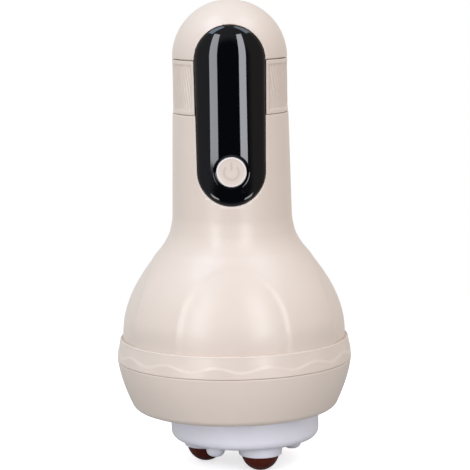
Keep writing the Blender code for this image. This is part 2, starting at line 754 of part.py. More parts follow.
def panel_recess():
    """What the panel and its margin take from the neck, down to just outside the sleeve."""
    core = rod(SLEEVE_RADIUS + FACE_STEP, BASE_HEIGHT, CAP_Z + HANDLE_RADIUS, FACETS_SHELL)
    return combined(panel_prism(SEAT_GAP), core, "DIFFERENCE")


def band_rings():
    """Levels of the band: radius, height, and whether it follows the wave."""
    return (
        (BELL_FOOT_RADIUS + LIP_ROUND / 2, LIP_Z + LIP_ROUND, False),
        (LIP_RADIUS, LIP_Z + LIP_ROUND / 2, False),
        (LIP_RADIUS, LIP_Z - LIP_ROUND, False),
        (BAND_RADIUS - WAVE_VALLEY_DEPTH, WAVE_Z + WAVE_SLOPE / 2, True),
        (BAND_RADIUS - WAVE_RIDGE_DROP, WAVE_Z - WAVE_SLOPE / 2, True),
        (BAND_RADIUS, SEAM_TOP_Z + SEAM_CHAMFER, False),
        (BAND_RADIUS - SEAM_CHAMFER, SEAM_TOP_Z, False),
    )


def wavy_band(bm):
    """Skin of the band, whose middle levels rise and fall round the turn."""
    rings = band_rings()
    rims = skin(bm, [(radius, height) for radius, height, _ in rings], WAVE_COUNT * WAVE_STEPS)
    levels = [rim_edges(bm, (radius, height)) for radius, height, follows in rings if follows]
    for level in levels:
        for vert in {vert for edge in level for vert in edge.verts}:
            turn = math.atan2(vert.co.x, -vert.co.y) - WAVE_FIRST_CREST
            vert.co.z += WAVE_HEIGHT * math.cos(WAVE_COUNT * turn)
    return rims


def body_outer_profile():
    """From the sleeve's open end down its dome and side, over the shelf and down the bell."""
    dome = arc((0.0, CAP_Z), SLEEVE_RADIUS, SLEEVE_DOME_ANGLE, 0.0, round(SLEEVE_DOME_ANGLE / DOME_STEP))
    return dome + [(SLEEVE_RADIUS, NECK_TOP_Z), (NECK_TOP_RADIUS, NECK_TOP_Z)] + bell_profile()


def body_inner_profile():
    """From the rabbet up the inside of bell, neck and sleeve."""
    rabbet_radius = TONGUE_RADIUS + SEAT_GAP
    rabbet_z = SEAM_TOP_Z + TONGUE_HEIGHT + SEAT_GAP
    foot = [(rabbet_radius, SEAM_TOP_Z), (rabbet_radius, rabbet_z), (BAND_RADIUS - SHELL_WALL, rabbet_z)]
    wall = inwards(bell_profile(), SHELL_WALL)
    bell = [point for point in reversed(wall) if LIP_Z < point[1] < BATTERY_STOP_Z]
    neck = [
        (bell[-1][0], BATTERY_STOP_Z), (NECK_BORE_RADIUS, BATTERY_STOP_Z),
        (NECK_BORE_RADIUS, SLEEVE_FOOT_Z - SLEEVE_CONE), (SLEEVE_BORE_RADIUS, SLEEVE_FOOT_Z),
    ]
    dome = arc((0.0, CAP_Z), SLEEVE_BORE_RADIUS, 0.0, SLEEVE_DOME_ANGLE, round(SLEEVE_DOME_ANGLE / DOME_STEP))
    return foot + bell + neck + dome


def body_walls():
    """Bell, neck and sleeve as one turned wall."""
    bm = bmesh.new()
    outer = skin(bm, body_outer_profile(), FACETS_SHELL)
    band = wavy_band(bm)
    inner = skin(bm, body_inner_profile(), FACETS_INNER)
    close_skins(bm, [outer, band, inner])
    return bm


def front_channel():
    """Thicker wall of the neck behind the panel."""
    wall = pipe(NECK_BORE_RADIUS + FUSE_DEPTH, SLEEVE_BORE_RADIUS + FACE_STEP, BATTERY_STOP_Z,
                SLEEVE_FOOT_Z + SLEEVE_WALL, FACETS_INNER)
    return combined(wall, panel_prism(CHANNEL_WALL), "INTERSECT")


def arch_cutter(middle):
    """What lies above one arch recess; middle is its direction from the front."""
    outline = bell_profile()
    bm = bmesh.new()
    bmesh.ops.create_grid(bm, x_segments=ARCH_COLUMNS, y_segments=ARCH_ROWS, size=1.0)
    raised = bmesh.ops.extrude_face_region(bm, geom=bm.faces[:])["geom"]
    outer = {item for item in raised if isinstance(item, bmesh.types.BMVert)}
    for vert in bm.verts:
        rise = math.sin((vert.co.y + 1) * math.pi / 4)
        turn = middle + vert.co.x * ARCH_HALF_ANGLE * math.sqrt(max(1 - rise ** ARCH_POWER, 0.0))
        height = ARCH_FOOT_Z + (ARCH_TOP_Z - ARCH_FOOT_Z) * rise
        radius = radius_at(outline, height) + (CUT_OVERRUN if vert in outer else -ARCH_DEPTH)
        vert.co = (radius * math.sin(turn), -radius * math.cos(turn), height)
    bmesh.ops.remove_doubles(bm, verts=bm.verts, dist=MERGE_DISTANCE)
    bmesh.ops.dissolve_degenerate(bm, edges=bm.edges, dist=MERGE_DISTANCE)
    bmesh.ops.recalc_face_normals(bm, faces=bm.faces)
    return bm


def housing_bosses():
    """Long bosses for the housing screws, trimmed to the inside of the bell."""
    top = NECK_FOOT_Z - BELL_HEIGHT / 3
    posts = merged([rod(HOUSING_BOSS_RADIUS, SEAM_TOP_Z, top, FACETS_SCREW, place) for place in base_screw_places()])
    inside = [point for point in inwards(bell_profile(), SHELL_WALL / 2) if point[1] > LIP_Z]
    foot_radius = BAND_RADIUS - SHELL_WALL
    limit = [(0.0, NECK_FOOT_Z)] + inside + [(foot_radius, LIP_Z), (foot_radius, SEAM_Z), (0.0, SEAM_Z)]
    return combined(posts, turned(limit, FACETS_SHELL), "INTERSECT")


def board_supports():
    """Stand-offs of both boards, each with a peg through the board."""
    solids = []
    for x, z in board_support_places():
        start = -math.sqrt(SLEEVE_RADIUS ** 2 - (abs(x) + STANDOFF_RADIUS) ** 2) + SEAT_GAP / 2
        face = BOARD_FRONT_Y - SEAT_GAP
        tip = BOARD_BACK_Y + BOARD_PEG_HEIGHT
        profile = ((0.0, 0.0), (STANDOFF_RADIUS, 0.0), (STANDOFF_RADIUS, face - start),
                   (BOARD_PEG_RADIUS, face - start), (BOARD_PEG_RADIUS, tip - start), (0.0, tip - start))
        solids.append(lay_back(turned(profile, FACETS_SCREW), (x, start, z)))
    for x, z in charge_support_places():
        start = charge_board_back_y() - BOARD_THICKNESS - BOARD_PEG_HEIGHT
        face = charge_board_back_y() + SEAT_GAP
        end = math.sqrt(NECK_BORE_RADIUS ** 2 - x ** 2) + FUSE_DEPTH
        profile = ((0.0, 0.0), (BOARD_PEG_RADIUS, 0.0), (BOARD_PEG_RADIUS, face - start),
                   (STANDOFF_RADIUS, face - start), (STANDOFF_RADIUS, end - start), (0.0, end - start))
        solids.append(lay_back(turned(profile, FACETS_SCREW), (x, start, z)))
    return merged(solids)


def body_holes():
    """Pilot holes, button hole, display window and charging socket's hole."""
    pilot_top = BASE_SCREW_SEAT_Z + BASE_SCREW_LENGTH + SEAT_GAP
    solids = [rod(SCREW_HOLE_RADIUS, SEAM_Z - CUT_OVERRUN, pilot_top, FACETS_SCREW, place)
              for place in base_screw_places()]
    start = -SLEEVE_RADIUS - CUT_OVERRUN
    end = -SLEEVE_BORE_RADIUS + SLEEVE_WALL * 2
    solids.append(lay_back(rod(BUTTON_RADIUS + SEAT_GAP, 0.0, end - start, FACETS_PART), (0.0, start, PANEL_FOOT_Z)))
    wide = DISPLAY_WIDTH / 2 + SEAT_GAP
    tall = DISPLAY_HEIGHT / 2 + SEAT_GAP
    solids.append(block((-wide, start, DISPLAY_Z - tall), (wide, BOARD_FRONT_Y, DISPLAY_Z + tall)))
    mouth = SEAT_GAP * 2
    solids.append(slot_prism(SOCKET_WIDTH + mouth, SOCKET_HEIGHT + mouth, NECK_BORE_RADIUS - CUT_OVERRUN,
                             NECK_FOOT_RADIUS + CUT_OVERRUN))
    return merged(solids)


def make_body_shell():
    """Bell, neck and inner sleeve in one moulding."""
    obj = add_object("body_shell", body_walls(), cream_plastic("body_shell"))
    join(obj, front_channel())
    cut(obj, panel_recess())
    for index in range(ARCH_COUNT):
        cut(obj, arch_cutter(math.tau * index / ARCH_COUNT))
    join(obj, housing_bosses())
    join(obj, board_supports())
    cut(obj, body_holes())
    smooth(obj)


def make_top_cap():
    """Half dome over the sleeve's end, notched for the panel."""
    bm = bmesh.new()
    outer = arc((0.0, CAP_Z), HANDLE_RADIUS, math.pi / 2, 0.0, CAP_ROWS)[1:]
    inner = arc((0.0, CAP_Z), RING_BORE_RADIUS, 0.0, math.pi / 2, round(math.pi / 2 / DOME_STEP))[:-1]
    rims = [
        skin(bm, [(0.0, CAP_Z + HANDLE_RADIUS)] + outer, FACETS_HANDLE),
        skin(bm, inner + [(0.0, CAP_Z + RING_BORE_RADIUS)], FACETS_SHELL),
    ]
    close_skins(bm, rims)
    obj = add_object("top_cap", bm, cream_plastic("top_cap"))
    cut(obj, panel_prism(SEAT_GAP))
    smooth(obj)


def rib_cutter():
    """What lies outside the ribs, which lean as they rise, and beside the panel's border."""
    crest = HANDLE_RADIUS - RIB_INSET
    outside = HANDLE_RADIUS + CUT_OVERRUN
    bm = bmesh.new()
    ribs = skin(bm, [(crest, RIB_FOOT_Z), (crest, RIB_TOP_Z)], RIB_COUNT * 2)
    lean = (RIB_TOP_Z - RIB_FOOT_Z) * math.tan(RIB_LEAN) / HANDLE_RADIUS
    for rim, shift in zip(ribs, (0.0, lean)):
        for vert in {vert for edge in rim for vert in edge.verts}:
            turn = math.atan2(vert.co.y, vert.co.x)
            radius = crest - RIB_DEPTH * (round(turn * RIB_COUNT / math.pi) % 2)
            vert.co.xy = Vector((radius * math.cos(turn + shift), radius * math.sin(turn + shift)))
    close_skins(bm, [ribs, skin(bm, [(outside, RIB_TOP_Z), (outside, RIB_FOOT_Z)], FACETS_HANDLE)])
    reach = PANEL_TOP_RADIUS + SEAT_GAP + RING_SIDE_BORDER
    front = block((-reach, -outside - CUT_OVERRUN, RING_Z), (reach, 0.0, RING_TOP_Z))
    return combined(bm, front, "DIFFERENCE")


def make_grip_ring():
    """Ring between neck and cap, open at the front for the panel, with slanted ribs."""
    bm = bmesh.new()
    rims = [
        skin(bm, [(HANDLE_RADIUS, RING_Z), (HANDLE_RADIUS, RING_TOP_Z)], FACETS_HANDLE),
        skin(bm, [(RING_BORE_RADIUS, RING_TOP_Z), (RING_BORE_RADIUS, RING_Z)], FACETS_SHELL),
    ]
    close_skins(bm, rims)
    obj = add_object("grip_ring", bm, cream_plastic("grip_ring"))
    cut(obj, rib_cutter())
    cut(obj, panel_prism(SEAT_GAP))
    smooth(obj)


def panel_face():
    """Flat front view of the panel, with a rim for the bevel and a grid to bend along."""
    bm = bmesh.new()
    face = bm.faces.new([bm.verts.new((x, 0.0, z)) for x, z in panel_outline(0.0)])
    bmesh.ops.inset_region(bm, faces=[face], thickness=PANEL_BEVEL, use_even_offset=True)
    reach = PANEL_TOP_RADIUS - PANEL_BEVEL
    planes = [((reach * index / PANEL_COLUMNS, 0.0, 0.0), (1.0, 0.0, 0.0))
              for index in range(1 - PANEL_COLUMNS, PANEL_COLUMNS)]
    levels = [PANEL_FOOT_Z, NECK_TOP_Z] + [PANEL_TOP_Z + reach * index / PANEL_ROWS for index in range(PANEL_ROWS)]
    planes += [((0.0, 0.0, level), (0.0, 0.0, 1.0)) for level in levels]
    for place, normal in planes:
        bmesh.ops.bisect_plane(bm, geom=bm.verts[:] + bm.edges[:] + bm.faces[:], plane_co=place, plane_no=normal)
    return bm


def make_display_panel():
    """Long cover with round ends that follows the handle and the dome, bevelled all round."""
    bm = panel_face()
    rim = {vert for edge in bm.edges if edge.is_boundary for vert in edge.verts}
    raised = bmesh.ops.extrude_face_region(bm, geom=bm.faces[:])["geom"]
    back = {item for item in raised if isinstance(item, bmesh.types.BMVert)}
    for vert in bm.verts:
        inset = PANEL_RECESS + (PANEL_BEVEL_DEPTH if vert in rim else 0.0)
        if vert in back:
            rise = max(vert.co.z - CAP_Z, 0.0)
            vert.co.y = -math.sqrt(RING_BORE_RADIUS ** 2 - vert.co.x ** 2 - rise ** 2)
        else:
            vert.co.y = front_y(vert.co.x, vert.co.z, inset)
    bmesh.ops.recalc_face_normals(bm, faces=bm.faces)
    obj = add_object("display_panel", bm, finish("display_panel", (0.008, 0.008, 0.010), 0.05))
    start = -HANDLE_RADIUS - CUT_OVERRUN
    hole = BUTTON_RADIUS + SEAT_GAP
    end = -SLEEVE_RADIUS + CUT_OVERRUN - start
    profile = ((0.0, 0.0), (DISH_RADIUS + DISH_DEPTH, 0.0), (DISH_RADIUS, CUT_OVERRUN),
               (hole, CUT_OVERRUN + DISH_DEPTH), (hole, end), (0.0, end))
    cut(obj, lay_back(turned(profile, FACETS_PART), (0.0, start, PANEL_FOOT_Z)))
    smooth(obj)


def make_power_button():
    """Round cap with a skirt, a flange behind the sleeve and a stem towards the switch."""
    flange = BUTTON_FLANGE_Y - BUTTON_FACE_Y
    end = flange + BUTTON_FLANGE_THICKNESS
    stem = PLUNGER_TIP_Y - SEAT_GAP - BUTTON_FACE_Y
    skirt = BUTTON_RADIUS - BUTTON_WALL
    profile = (
        (0.0, 0.0), (BUTTON_RADIUS - BUTTON_EDGE, 0.0), (BUTTON_RADIUS, BUTTON_EDGE), (BUTTON_RADIUS, flange),
        (BUTTON_FLANGE_RADIUS, flange), (BUTTON_FLANGE_RADIUS, end), (skirt, end), (skirt, BUTTON_CAP_THICKNESS),
        (BUTTON_STEM_RADIUS, BUTTON_CAP_THICKNESS), (BUTTON_STEM_RADIUS, stem), (0.0, stem),
    )
    bm = lay_back(turned(profile, FACETS_PART), BUTTON_PIVOT)
    smooth(add_object("power_button", bm, cream_plastic("power_button"), BUTTON_PIVOT))


def make_switch():
    """Push switch on the control board, and the plunger that the button presses."""
    bm = lay_back(rod(PLUNGER_RADIUS, 0.0, PLUNGER_LENGTH, FACETS_SCREW), (0.0, PLUNGER_TIP_Y, PANEL_FOOT_Z))
    smooth(add_object("switch_plunger", bm, black_plastic("switch_plunger"), BUTTON_PIVOT))
    side = SWITCH_SIDE / 2
    body = block((-side, SWITCH_FRONT_Y, PANEL_FOOT_Z - side),
                 (side, BOARD_FRONT_Y - SEAT_GAP, PANEL_FOOT_Z + side))
    obj = add_object("switch_body", body, black_plastic("switch_body"))
    depth = PLUNGER_LENGTH / 2 + BUTTON_TRAVEL + SEAT_GAP * 2
    bore = rod(PLUNGER_RADIUS + SEAT_GAP, 0.0, depth, FACETS_SCREW)
    cut(obj, lay_back(bore, (0.0, SWITCH_FRONT_Y - SEAT_GAP, PANEL_FOOT_Z)))


def make_control_board():
    """Board behind the panel, held on two pegs."""
    half = BOARD_WIDTH / 2
    obj = add_object("control_board", block((-half, BOARD_FRONT_Y, BOARD_FOOT_Z), (half, BOARD_BACK_Y, BOARD_TOP_Z)),
                     circuit_board("control_board"))
    start = BOARD_FRONT_Y - CUT_OVERRUN
    depth = BOARD_THICKNESS + CUT_OVERRUN * 2
    cut(obj, merged([lay_back(rod(BOARD_PEG_RADIUS + SEAT_GAP, 0.0, depth, FACETS_SCREW), (x, start, z))
                     for x, z in board_support_places()]))


def make_display_module():
    """Display on the control board, in the window of the sleeve."""
    wide = DISPLAY_WIDTH / 2
    tall = DISPLAY_HEIGHT / 2
    face = -math.sqrt(RING_BORE_RADIUS ** 2 - wide ** 2) + SEAT_GAP
    bm = block((-wide, face, DISPLAY_Z - tall), (wide, BOARD_FRONT_Y - SEAT_GAP, DISPLAY_Z + tall))
    add_object("display_module", bm, black_plastic("display_module"))


def socket_mouth_y():
    """How far back the charging socket's mouth lies."""
    return -front_y(0.0, SOCKET_Z, SOCKET_SET_BACK)


def charge_board_back_y():
    """Back face of the charging board, which carries the socket."""
    return socket_mouth_y() - SOCKET_DEPTH - SEAT_GAP


def slot_prism(width, height, near, far):
    """A flat slot with round ends at the charging socket's level, solid between two depths."""
    reach = (width - height) / 2
    right = arc((reach, -SOCKET_Z), height / 2, -math.pi / 2, math.pi / 2, FACETS_SCREW // 2)
    left = arc((-reach, -SOCKET_Z), height / 2, math.pi / 2, math.pi * 3 / 2, FACETS_SCREW // 2)
    return lay_back(prism(right + left, near, far))


def make_charge_socket():
    """Shell of the charging socket with its tongue."""
    mouth = socket_mouth_y()
    end = mouth - SOCKET_DEPTH
    obj = add_object("charge_socket", slot_prism(SOCKET_WIDTH, SOCKET_HEIGHT, end, mouth), steel("charge_socket"))
    wall = SOCKET_WALL * 2
    cut(obj, slot_prism(SOCKET_WIDTH - wall, SOCKET_HEIGHT - wall, end + wall, mouth + CUT_OVERRUN))
    half = (SOCKET_WIDTH - SOCKET_HEIGHT) / 2
    thin = SOCKET_TONGUE / 2
    join(obj, block((-half, end + SOCKET_WALL, SOCKET_Z - thin), (half, mouth - SOCKET_TONGUE, SOCKET_Z + thin)))
    smooth(obj)


def make_charge_board():
    """Small board behind the charging socket, held on two pegs."""
    wide = CHARGE_BOARD_WIDTH / 2
    tall = CHARGE_BOARD_HEIGHT / 2
    back = charge_board_back_y()
    front = back - BOARD_THICKNESS
    obj = add_object("charge_board", block((-wide, front, SOCKET_Z - tall), (wide, back, SOCKET_Z + tall)),
                     circuit_board("charge_board"))
    depth = BOARD_THICKNESS + CUT_OVERRUN * 2
    cut(obj, merged([lay_back(rod(BOARD_PEG_RADIUS + SEAT_GAP, 0.0, depth, FACETS_SCREW), (x, front - CUT_OVERRUN, z))
                     for x, z in charge_support_places()]))


def make_battery_cells():
    """Two round cells side by side, and the strip that joins their ends."""
    shoulder = BATTERY_TOP_Z - CELL_BUTTON_HEIGHT
    profile = ((0.0, BATTERY_Z), (CELL_RADIUS, BATTERY_Z), (CELL_RADIUS, shoulder), (CELL_BUTTON_RADIUS, shoulder),
               (CELL_BUTTON_RADIUS, BATTERY_TOP_Z), (0.0, BATTERY_TOP_Z))
    for side, name in ((-1, "battery_cell_left"), (1, "battery_cell_right")):
        bm = turned(profile, FACETS_PART, (side * CELL_X, CELL_SET_BACK))
        smooth(add_object(name, bm, finish(name, (0.03, 0.14, 0.40), 0.35)))
    half = STRIP_WIDTH / 2
    low = BATTERY_TOP_Z + SEAT_GAP
    bm = block((-CELL_X - half, CELL_SET_BACK - half, low),
               (CELL_X + half, CELL_SET_BACK + half, low + STRIP_THICKNESS))
    add_object("cell_strip", bm, steel("cell_strip"))


def twin_cell_prism(radius, low, high):
    """A solid round both battery cells."""
    left = (CELL_SET_BACK, -CELL_X)
    right = (CELL_SET_BACK, CELL_X)
    outline = round_slot(left, radius, right, radius, FACETS_SMALL)
    return prism([(y, x) for x, y in outline], low, high)


def make_battery_holder():
    """Flange under the neck's step with a cup for the battery cells and a hole for the leads."""
    top = BATTERY_STOP_Z - SEAT_GAP
    low = top - HOLDER_FLOOR
    bore = radius_at(inwards(bell_profile(), SHELL_WALL), low)
    obj = add_object("battery_holder", rod(bore - SEAT_GAP, low, top, FACETS_INNER), grey_plastic("battery_holder"))
    room = CELL_RADIUS + SEAT_GAP
    cup_top = BATTERY_Z + HOLDER_HEIGHT
    join(obj, twin_cell_prism(room + HOLDER_WALL, low, cup_top))
    cut(obj, twin_cell_prism(room, BATTERY_Z - SEAT_GAP, cup_top + CUT_OVERRUN))
    cut(obj, rod(LEAD_HOLE_RADIUS, low - CUT_OVERRUN, top + CUT_OVERRUN, FACETS_SMALL, (0.0, -LEAD_HOLE_RING)))
    smooth(obj)


def lower_walls():
    """Turned wall of the lower shell with its tongue."""
    outer = lower_profile()
    side = [point for point in reversed(inwards(outer, SHELL_WALL))
            if point[0] < TONGUE_INNER_RADIUS and point[1] > BASE_INNER_Z]
    tongue_top = SEAM_TOP_Z + TONGUE_HEIGHT
    outer_line = [(BAND_RADIUS - SEAM_CHAMFER, SEAM_FOOT_Z)] + outer
    outer_line += [(HEAD_OPENING_RADIUS, BASE_HEIGHT), (HEAD_OPENING_RADIUS, BASE_INNER_Z)]
    inner_line = [(side[0][0] - BASE_WALL, BASE_INNER_Z)] + side
    inner_line += [(TONGUE_INNER_RADIUS, SEAM_FOOT_Z - TONGUE_HEIGHT), (TONGUE_INNER_RADIUS, tongue_top)]
    inner_line += [(TONGUE_RADIUS, tongue_top), (TONGUE_RADIUS, SEAM_FOOT_Z)]
    bm = bmesh.new()
    close_skins(bm, [skin(bm, outer_line, FACETS_SHELL), skin(bm, inner_line, FACETS_INNER)])
    return bm


def lower_posts():
    """Screw wells and chassis bosses, which stand on the floor of the lower shell."""
    sunk = BASE_INNER_Z - FUSE_DEPTH
    face = CHASSIS_Z - SEAT_GAP
    tip = CHASSIS_TOP_Z - SEAT_GAP
    solids = [rod(WELL_RADIUS + WELL_WALL, sunk, SEAM_FOOT_Z, FACETS_SMALL, place) for place in base_screw_places()]
    stepped = ((0.0, sunk), (CHASSIS_BOSS_RADIUS, sunk), (CHASSIS_BOSS_RADIUS, face), (CHASSIS_PEG_RADIUS, face),
               (CHASSIS_PEG_RADIUS, tip), (0.0, tip))
    solids += [turned(stepped, FACETS_SCREW, place) for place in chassis_boss_places()]
    return merged(solids)


def make_lower_shell():
    """Closing shell below the seam, with the opening for the head's hub."""
    obj = add_object("lower_shell", lower_walls(), cream_plastic("lower_shell"))
    join(obj, lower_posts())
    low = BASE_HEIGHT - CUT_OVERRUN
    high = SEAM_Z + CUT_OVERRUN
    well = ((0.0, low), (WELL_RADIUS, low), (WELL_RADIUS, WELL_SEAT_Z), (SCREW_HOLE_RADIUS, WELL_SEAT_Z),
            (SCREW_HOLE_RADIUS, high), (0.0, high))
    cut(obj, merged([turned(well, FACETS_SMALL, place) for place in base_screw_places()]))
    smooth(obj)


def chassis_outline():
    """Outline of the chassis plate: a disc with a lobe under the gear pin."""
    meet_y = (CHASSIS_RADIUS ** 2 - CHASSIS_LOBE_RADIUS ** 2 + GEAR_CENTRES ** 2) / (GEAR_CENTRES * 2)
    disc_turn = math.asin(meet_y / CHASSIS_RADIUS)
    lobe_turn = math.asin((meet_y - GEAR_CENTRES) / CHASSIS_LOBE_RADIUS)
    disc = arc((0.0, 0.0), CHASSIS_RADIUS, math.pi - disc_turn, math.tau + disc_turn, FACETS_PART)
    lobe = arc(LAY_CENTRE, CHASSIS_LOBE_RADIUS, lobe_turn, math.pi - lobe_turn, FACETS_SMALL)
    return disc + lobe[1:-1]


def make_chassis_plate():
    """Plate on the lower shell's pegs that carries the bush, the gear pin and the gear cover."""
    obj = add_object("chassis_plate", prism(chassis_outline(), CHASSIS_Z, CHASSIS_TOP_Z),
                     grey_plastic("chassis_plate"))
    bore = BUSH_RADIUS + SEAT_GAP
    hub_foot = BUSH_Z + BUSH_FLANGE_THICKNESS + SEAT_GAP
    boss_foot = CHASSIS_Z - LAY_BOSS_DROP
    join(obj, rod(bore + BOSS_WALL, hub_foot, BUSH_TOP_Z, FACETS_PART))
    join(obj, rod(LAY_BOSS_RADIUS, boss_foot, BUSH_TOP_Z, FACETS_SMALL, LAY_CENTRE))
    low = CHASSIS_Z - CUT_OVERRUN
    high = BUSH_TOP_Z + CUT_OVERRUN
    holes = [
        rod(bore, BUSH_Z, high, FACETS_PART),
        rod(LAY_PIN_RADIUS + SEAT_GAP, boss_foot + LAY_PIN_SEAT, high, FACETS_SMALL, LAY_CENTRE),
    ]
    holes += [rod(CHASSIS_PEG_RADIUS + SEAT_GAP, low, high, FACETS_SCREW, place) for place in chassis_boss_places()]
    cut(obj, merged(holes))
    smooth(obj)


def make_output_bush():
    """Flanged bronze bush in the chassis plate."""
    flange_top = BUSH_Z + BUSH_FLANGE_THICKNESS
    profile = ((BUSH_BORE_RADIUS, BUSH_Z), (BUSH_FLANGE_RADIUS, BUSH_Z), (BUSH_FLANGE_RADIUS, flange_top),
               (BUSH_RADIUS, flange_top), (BUSH_RADIUS, BUSH_TOP_Z), (BUSH_BORE_RADIUS, BUSH_TOP_Z))
    smooth(add_object("output_bush", turned(profile, FACETS_PART), bronze("output_bush")))


def gear_cover_prism(radius, low, high):
    """A solid round both gear centres."""
    return prism(round_slot((0.0, 0.0), radius, LAY_CENTRE, radius, GEAR_COVER_ARC_STEPS), low, high)


def make_gear_cover():
    """Cup over the gears that carries the motor."""
    outside = gear_cover_prism(GEAR_ROOM_RADIUS + GEAR_COVER_WALL, GEAR_COVER_Z, GEAR_COVER_TOP_Z)
    obj = add_object("gear_cover", outside, grey_plastic("gear_cover"))
    cut(obj, gear_cover_prism(GEAR_ROOM_RADIUS, GEAR_COVER_Z - CUT_OVERRUN, GEAR_COVER_CEILING_Z))
    low = GEAR_COVER_CEILING_Z - CUT_OVERRUN
    high = GEAR_COVER_TOP_Z + CUT_OVERRUN
    holes = [
        rod(MOTOR_BOSS_RADIUS + SEAT_GAP, low, high, FACETS_PART),
        rod(LAY_PIN_RADIUS + SEAT_GAP, low, high, FACETS_SMALL, LAY_CENTRE),
    ]
    cut(obj, merged(holes))
    smooth(obj)


def tooth_half_angle(teeth, radius):
    """Half the angle that a tooth takes at a radius; its flanks are involutes."""
    pitch = GEAR_MODULE * teeth / 2
    base = pitch * math.cos(PRESSURE_ANGLE)
    roll = math.acos(min(base / radius, 1.0))
    at_pitch = (math.pi * GEAR_MODULE / 2 - BACKLASH) / (pitch * 2)
    return at_pitch + (math.tan(PRESSURE_ANGLE) - PRESSURE_ANGLE) - (math.tan(roll) - roll)


def gear_outline(teeth, tip_share, phase):
    """Outline of a spur gear; the middle of one tooth points in the direction phase."""
    pitch = GEAR_MODULE * teeth / 2
    radii = [pitch - ROOT_SHARE * GEAR_MODULE, pitch, pitch + tip_share * GEAR_MODULE]
    if teeth > PINION_TEETH:
        radii.remove(pitch)
    outline = []
    for index in range(teeth):
        middle = phase + math.tau * index / teeth
        rising = [(radius, middle - tooth_half_angle(teeth, radius)) for radius in radii]
        falling = [(radius, middle + tooth_half_angle(teeth, radius)) for radius in reversed(radii)]
        outline += [(radius * math.cos(turn), radius * math.sin(turn)) for radius, turn in rising + falling]
    return outline


def gear(teeth, tip_share, low, high, phase, centre=(0.0, 0.0)):
    """A spur gear without its bore."""
    bm = prism(gear_outline(teeth, tip_share, phase), low, high)
    bmesh.ops.translate(bm, verts=bm.verts, vec=(*centre, 0.0))
    return bm


def make_output_gear():
    """Large gear on the eccentric shaft; a tooth of it points at the gear pin."""
    blank = gear(GEAR_TEETH, GEAR_TIP_SHARE, OUTPUT_GEAR_Z, OUTPUT_GEAR_TOP_Z, math.pi / 2)
    obj = add_object("output_gear", blank, white_acetal("output_gear"))
    cut(obj, rod(BUSH_BORE_RADIUS, OUTPUT_GEAR_Z - CUT_OVERRUN, OUTPUT_GEAR_TOP_Z + CUT_OVERRUN, FACETS_PART))
    smooth(obj)


def make_intermediate_gear():
    """Double gear on the gear pin: a gap of its pinion and a tooth of its wheel point at the axis."""
    small_phase = -math.pi / 2 + math.pi / PINION_TEETH
    wheel = gear(GEAR_TEETH, GEAR_TIP_SHARE, LAY_GEAR_Z, LAY_GEAR_TOP_Z, -math.pi / 2)
    pinion = gear(PINION_TEETH, PINION_TIP_SHARE, OUTPUT_GEAR_Z, LAY_GEAR_Z + FUSE_DEPTH, small_phase)
    obj = add_object("intermediate_gear", wheel, white_acetal("intermediate_gear"))
    join(obj, pinion)
    join(obj, rod(LAY_BOSS_RADIUS, LAY_GEAR_TOP_Z - FUSE_DEPTH, LAY_HUB_TOP_Z, FACETS_SMALL))
    cut(obj, rod(LAY_PIN_RADIUS + SEAT_GAP, OUTPUT_GEAR_Z - CUT_OVERRUN, GEAR_COVER_TOP_Z, FACETS_SMALL))
    smooth(obj)
    obj.location = (*LAY_CENTRE, 0.0)


def make_gear_pin():
    """Fixed pin between chassis plate and gear cover, on which the double gear turns."""
    foot = CHASSIS_Z - LAY_BOSS_DROP + LAY_PIN_SEAT + SEAT_GAP
    bm = rod(LAY_PIN_RADIUS, foot, GEAR_COVER_TOP_Z, FACETS_SMALL, LAY_CENTRE)
    smooth(add_object("gear_pin", bm, steel("gear_pin")))


def make_motor_pinion():
    """Small gear on the motor shaft; a gap of it points at the gear pin."""
    phase = math.pi / 2 + math.pi / PINION_TEETH
    top = LAY_GEAR_TOP_Z + PINION_OVERHANG
    blank = gear(PINION_TEETH, PINION_TIP_SHARE, LAY_GEAR_Z, top, phase)
    obj = add_object("motor_pinion", blank, bronze("motor_pinion"))
    cut(obj, rod(MOTOR_SHAFT_RADIUS + SEAT_GAP, LAY_GEAR_Z - CUT_OVERRUN, top + CUT_OVERRUN, FACETS_SCREW))
    smooth(obj)


def make_motor_shaft():
    """Shaft from the motor to its pinion."""
    bm = rod(MOTOR_SHAFT_RADIUS, LAY_GEAR_Z, MOTOR_SHAFT_TOP_Z, FACETS_SCREW)
    smooth(add_object("motor_shaft", bm, steel("motor_shaft")))


def make_motor_can():
    """Steel can with the front boss that centres it in the gear cover."""
    bore = MOTOR_SHAFT_RADIUS + SEAT_GAP
    boss = MOTOR_Z - MOTOR_BOSS_HEIGHT
    end = MOTOR_SHAFT_TOP_Z + SEAT_GAP
    profile = (
        (bore, boss), (MOTOR_BOSS_RADIUS, boss), (MOTOR_BOSS_RADIUS, MOTOR_Z), (MOTOR_RADIUS - MOTOR_EDGE, MOTOR_Z),
        (MOTOR_RADIUS, MOTOR_Z + MOTOR_EDGE), (MOTOR_RADIUS, MOTOR_TOP_Z), (0.0, MOTOR_TOP_Z), (0.0, end),
        (bore, end),
    )
    smooth(add_object("motor_can", turned(profile, FACETS_PART), steel("motor_can")))


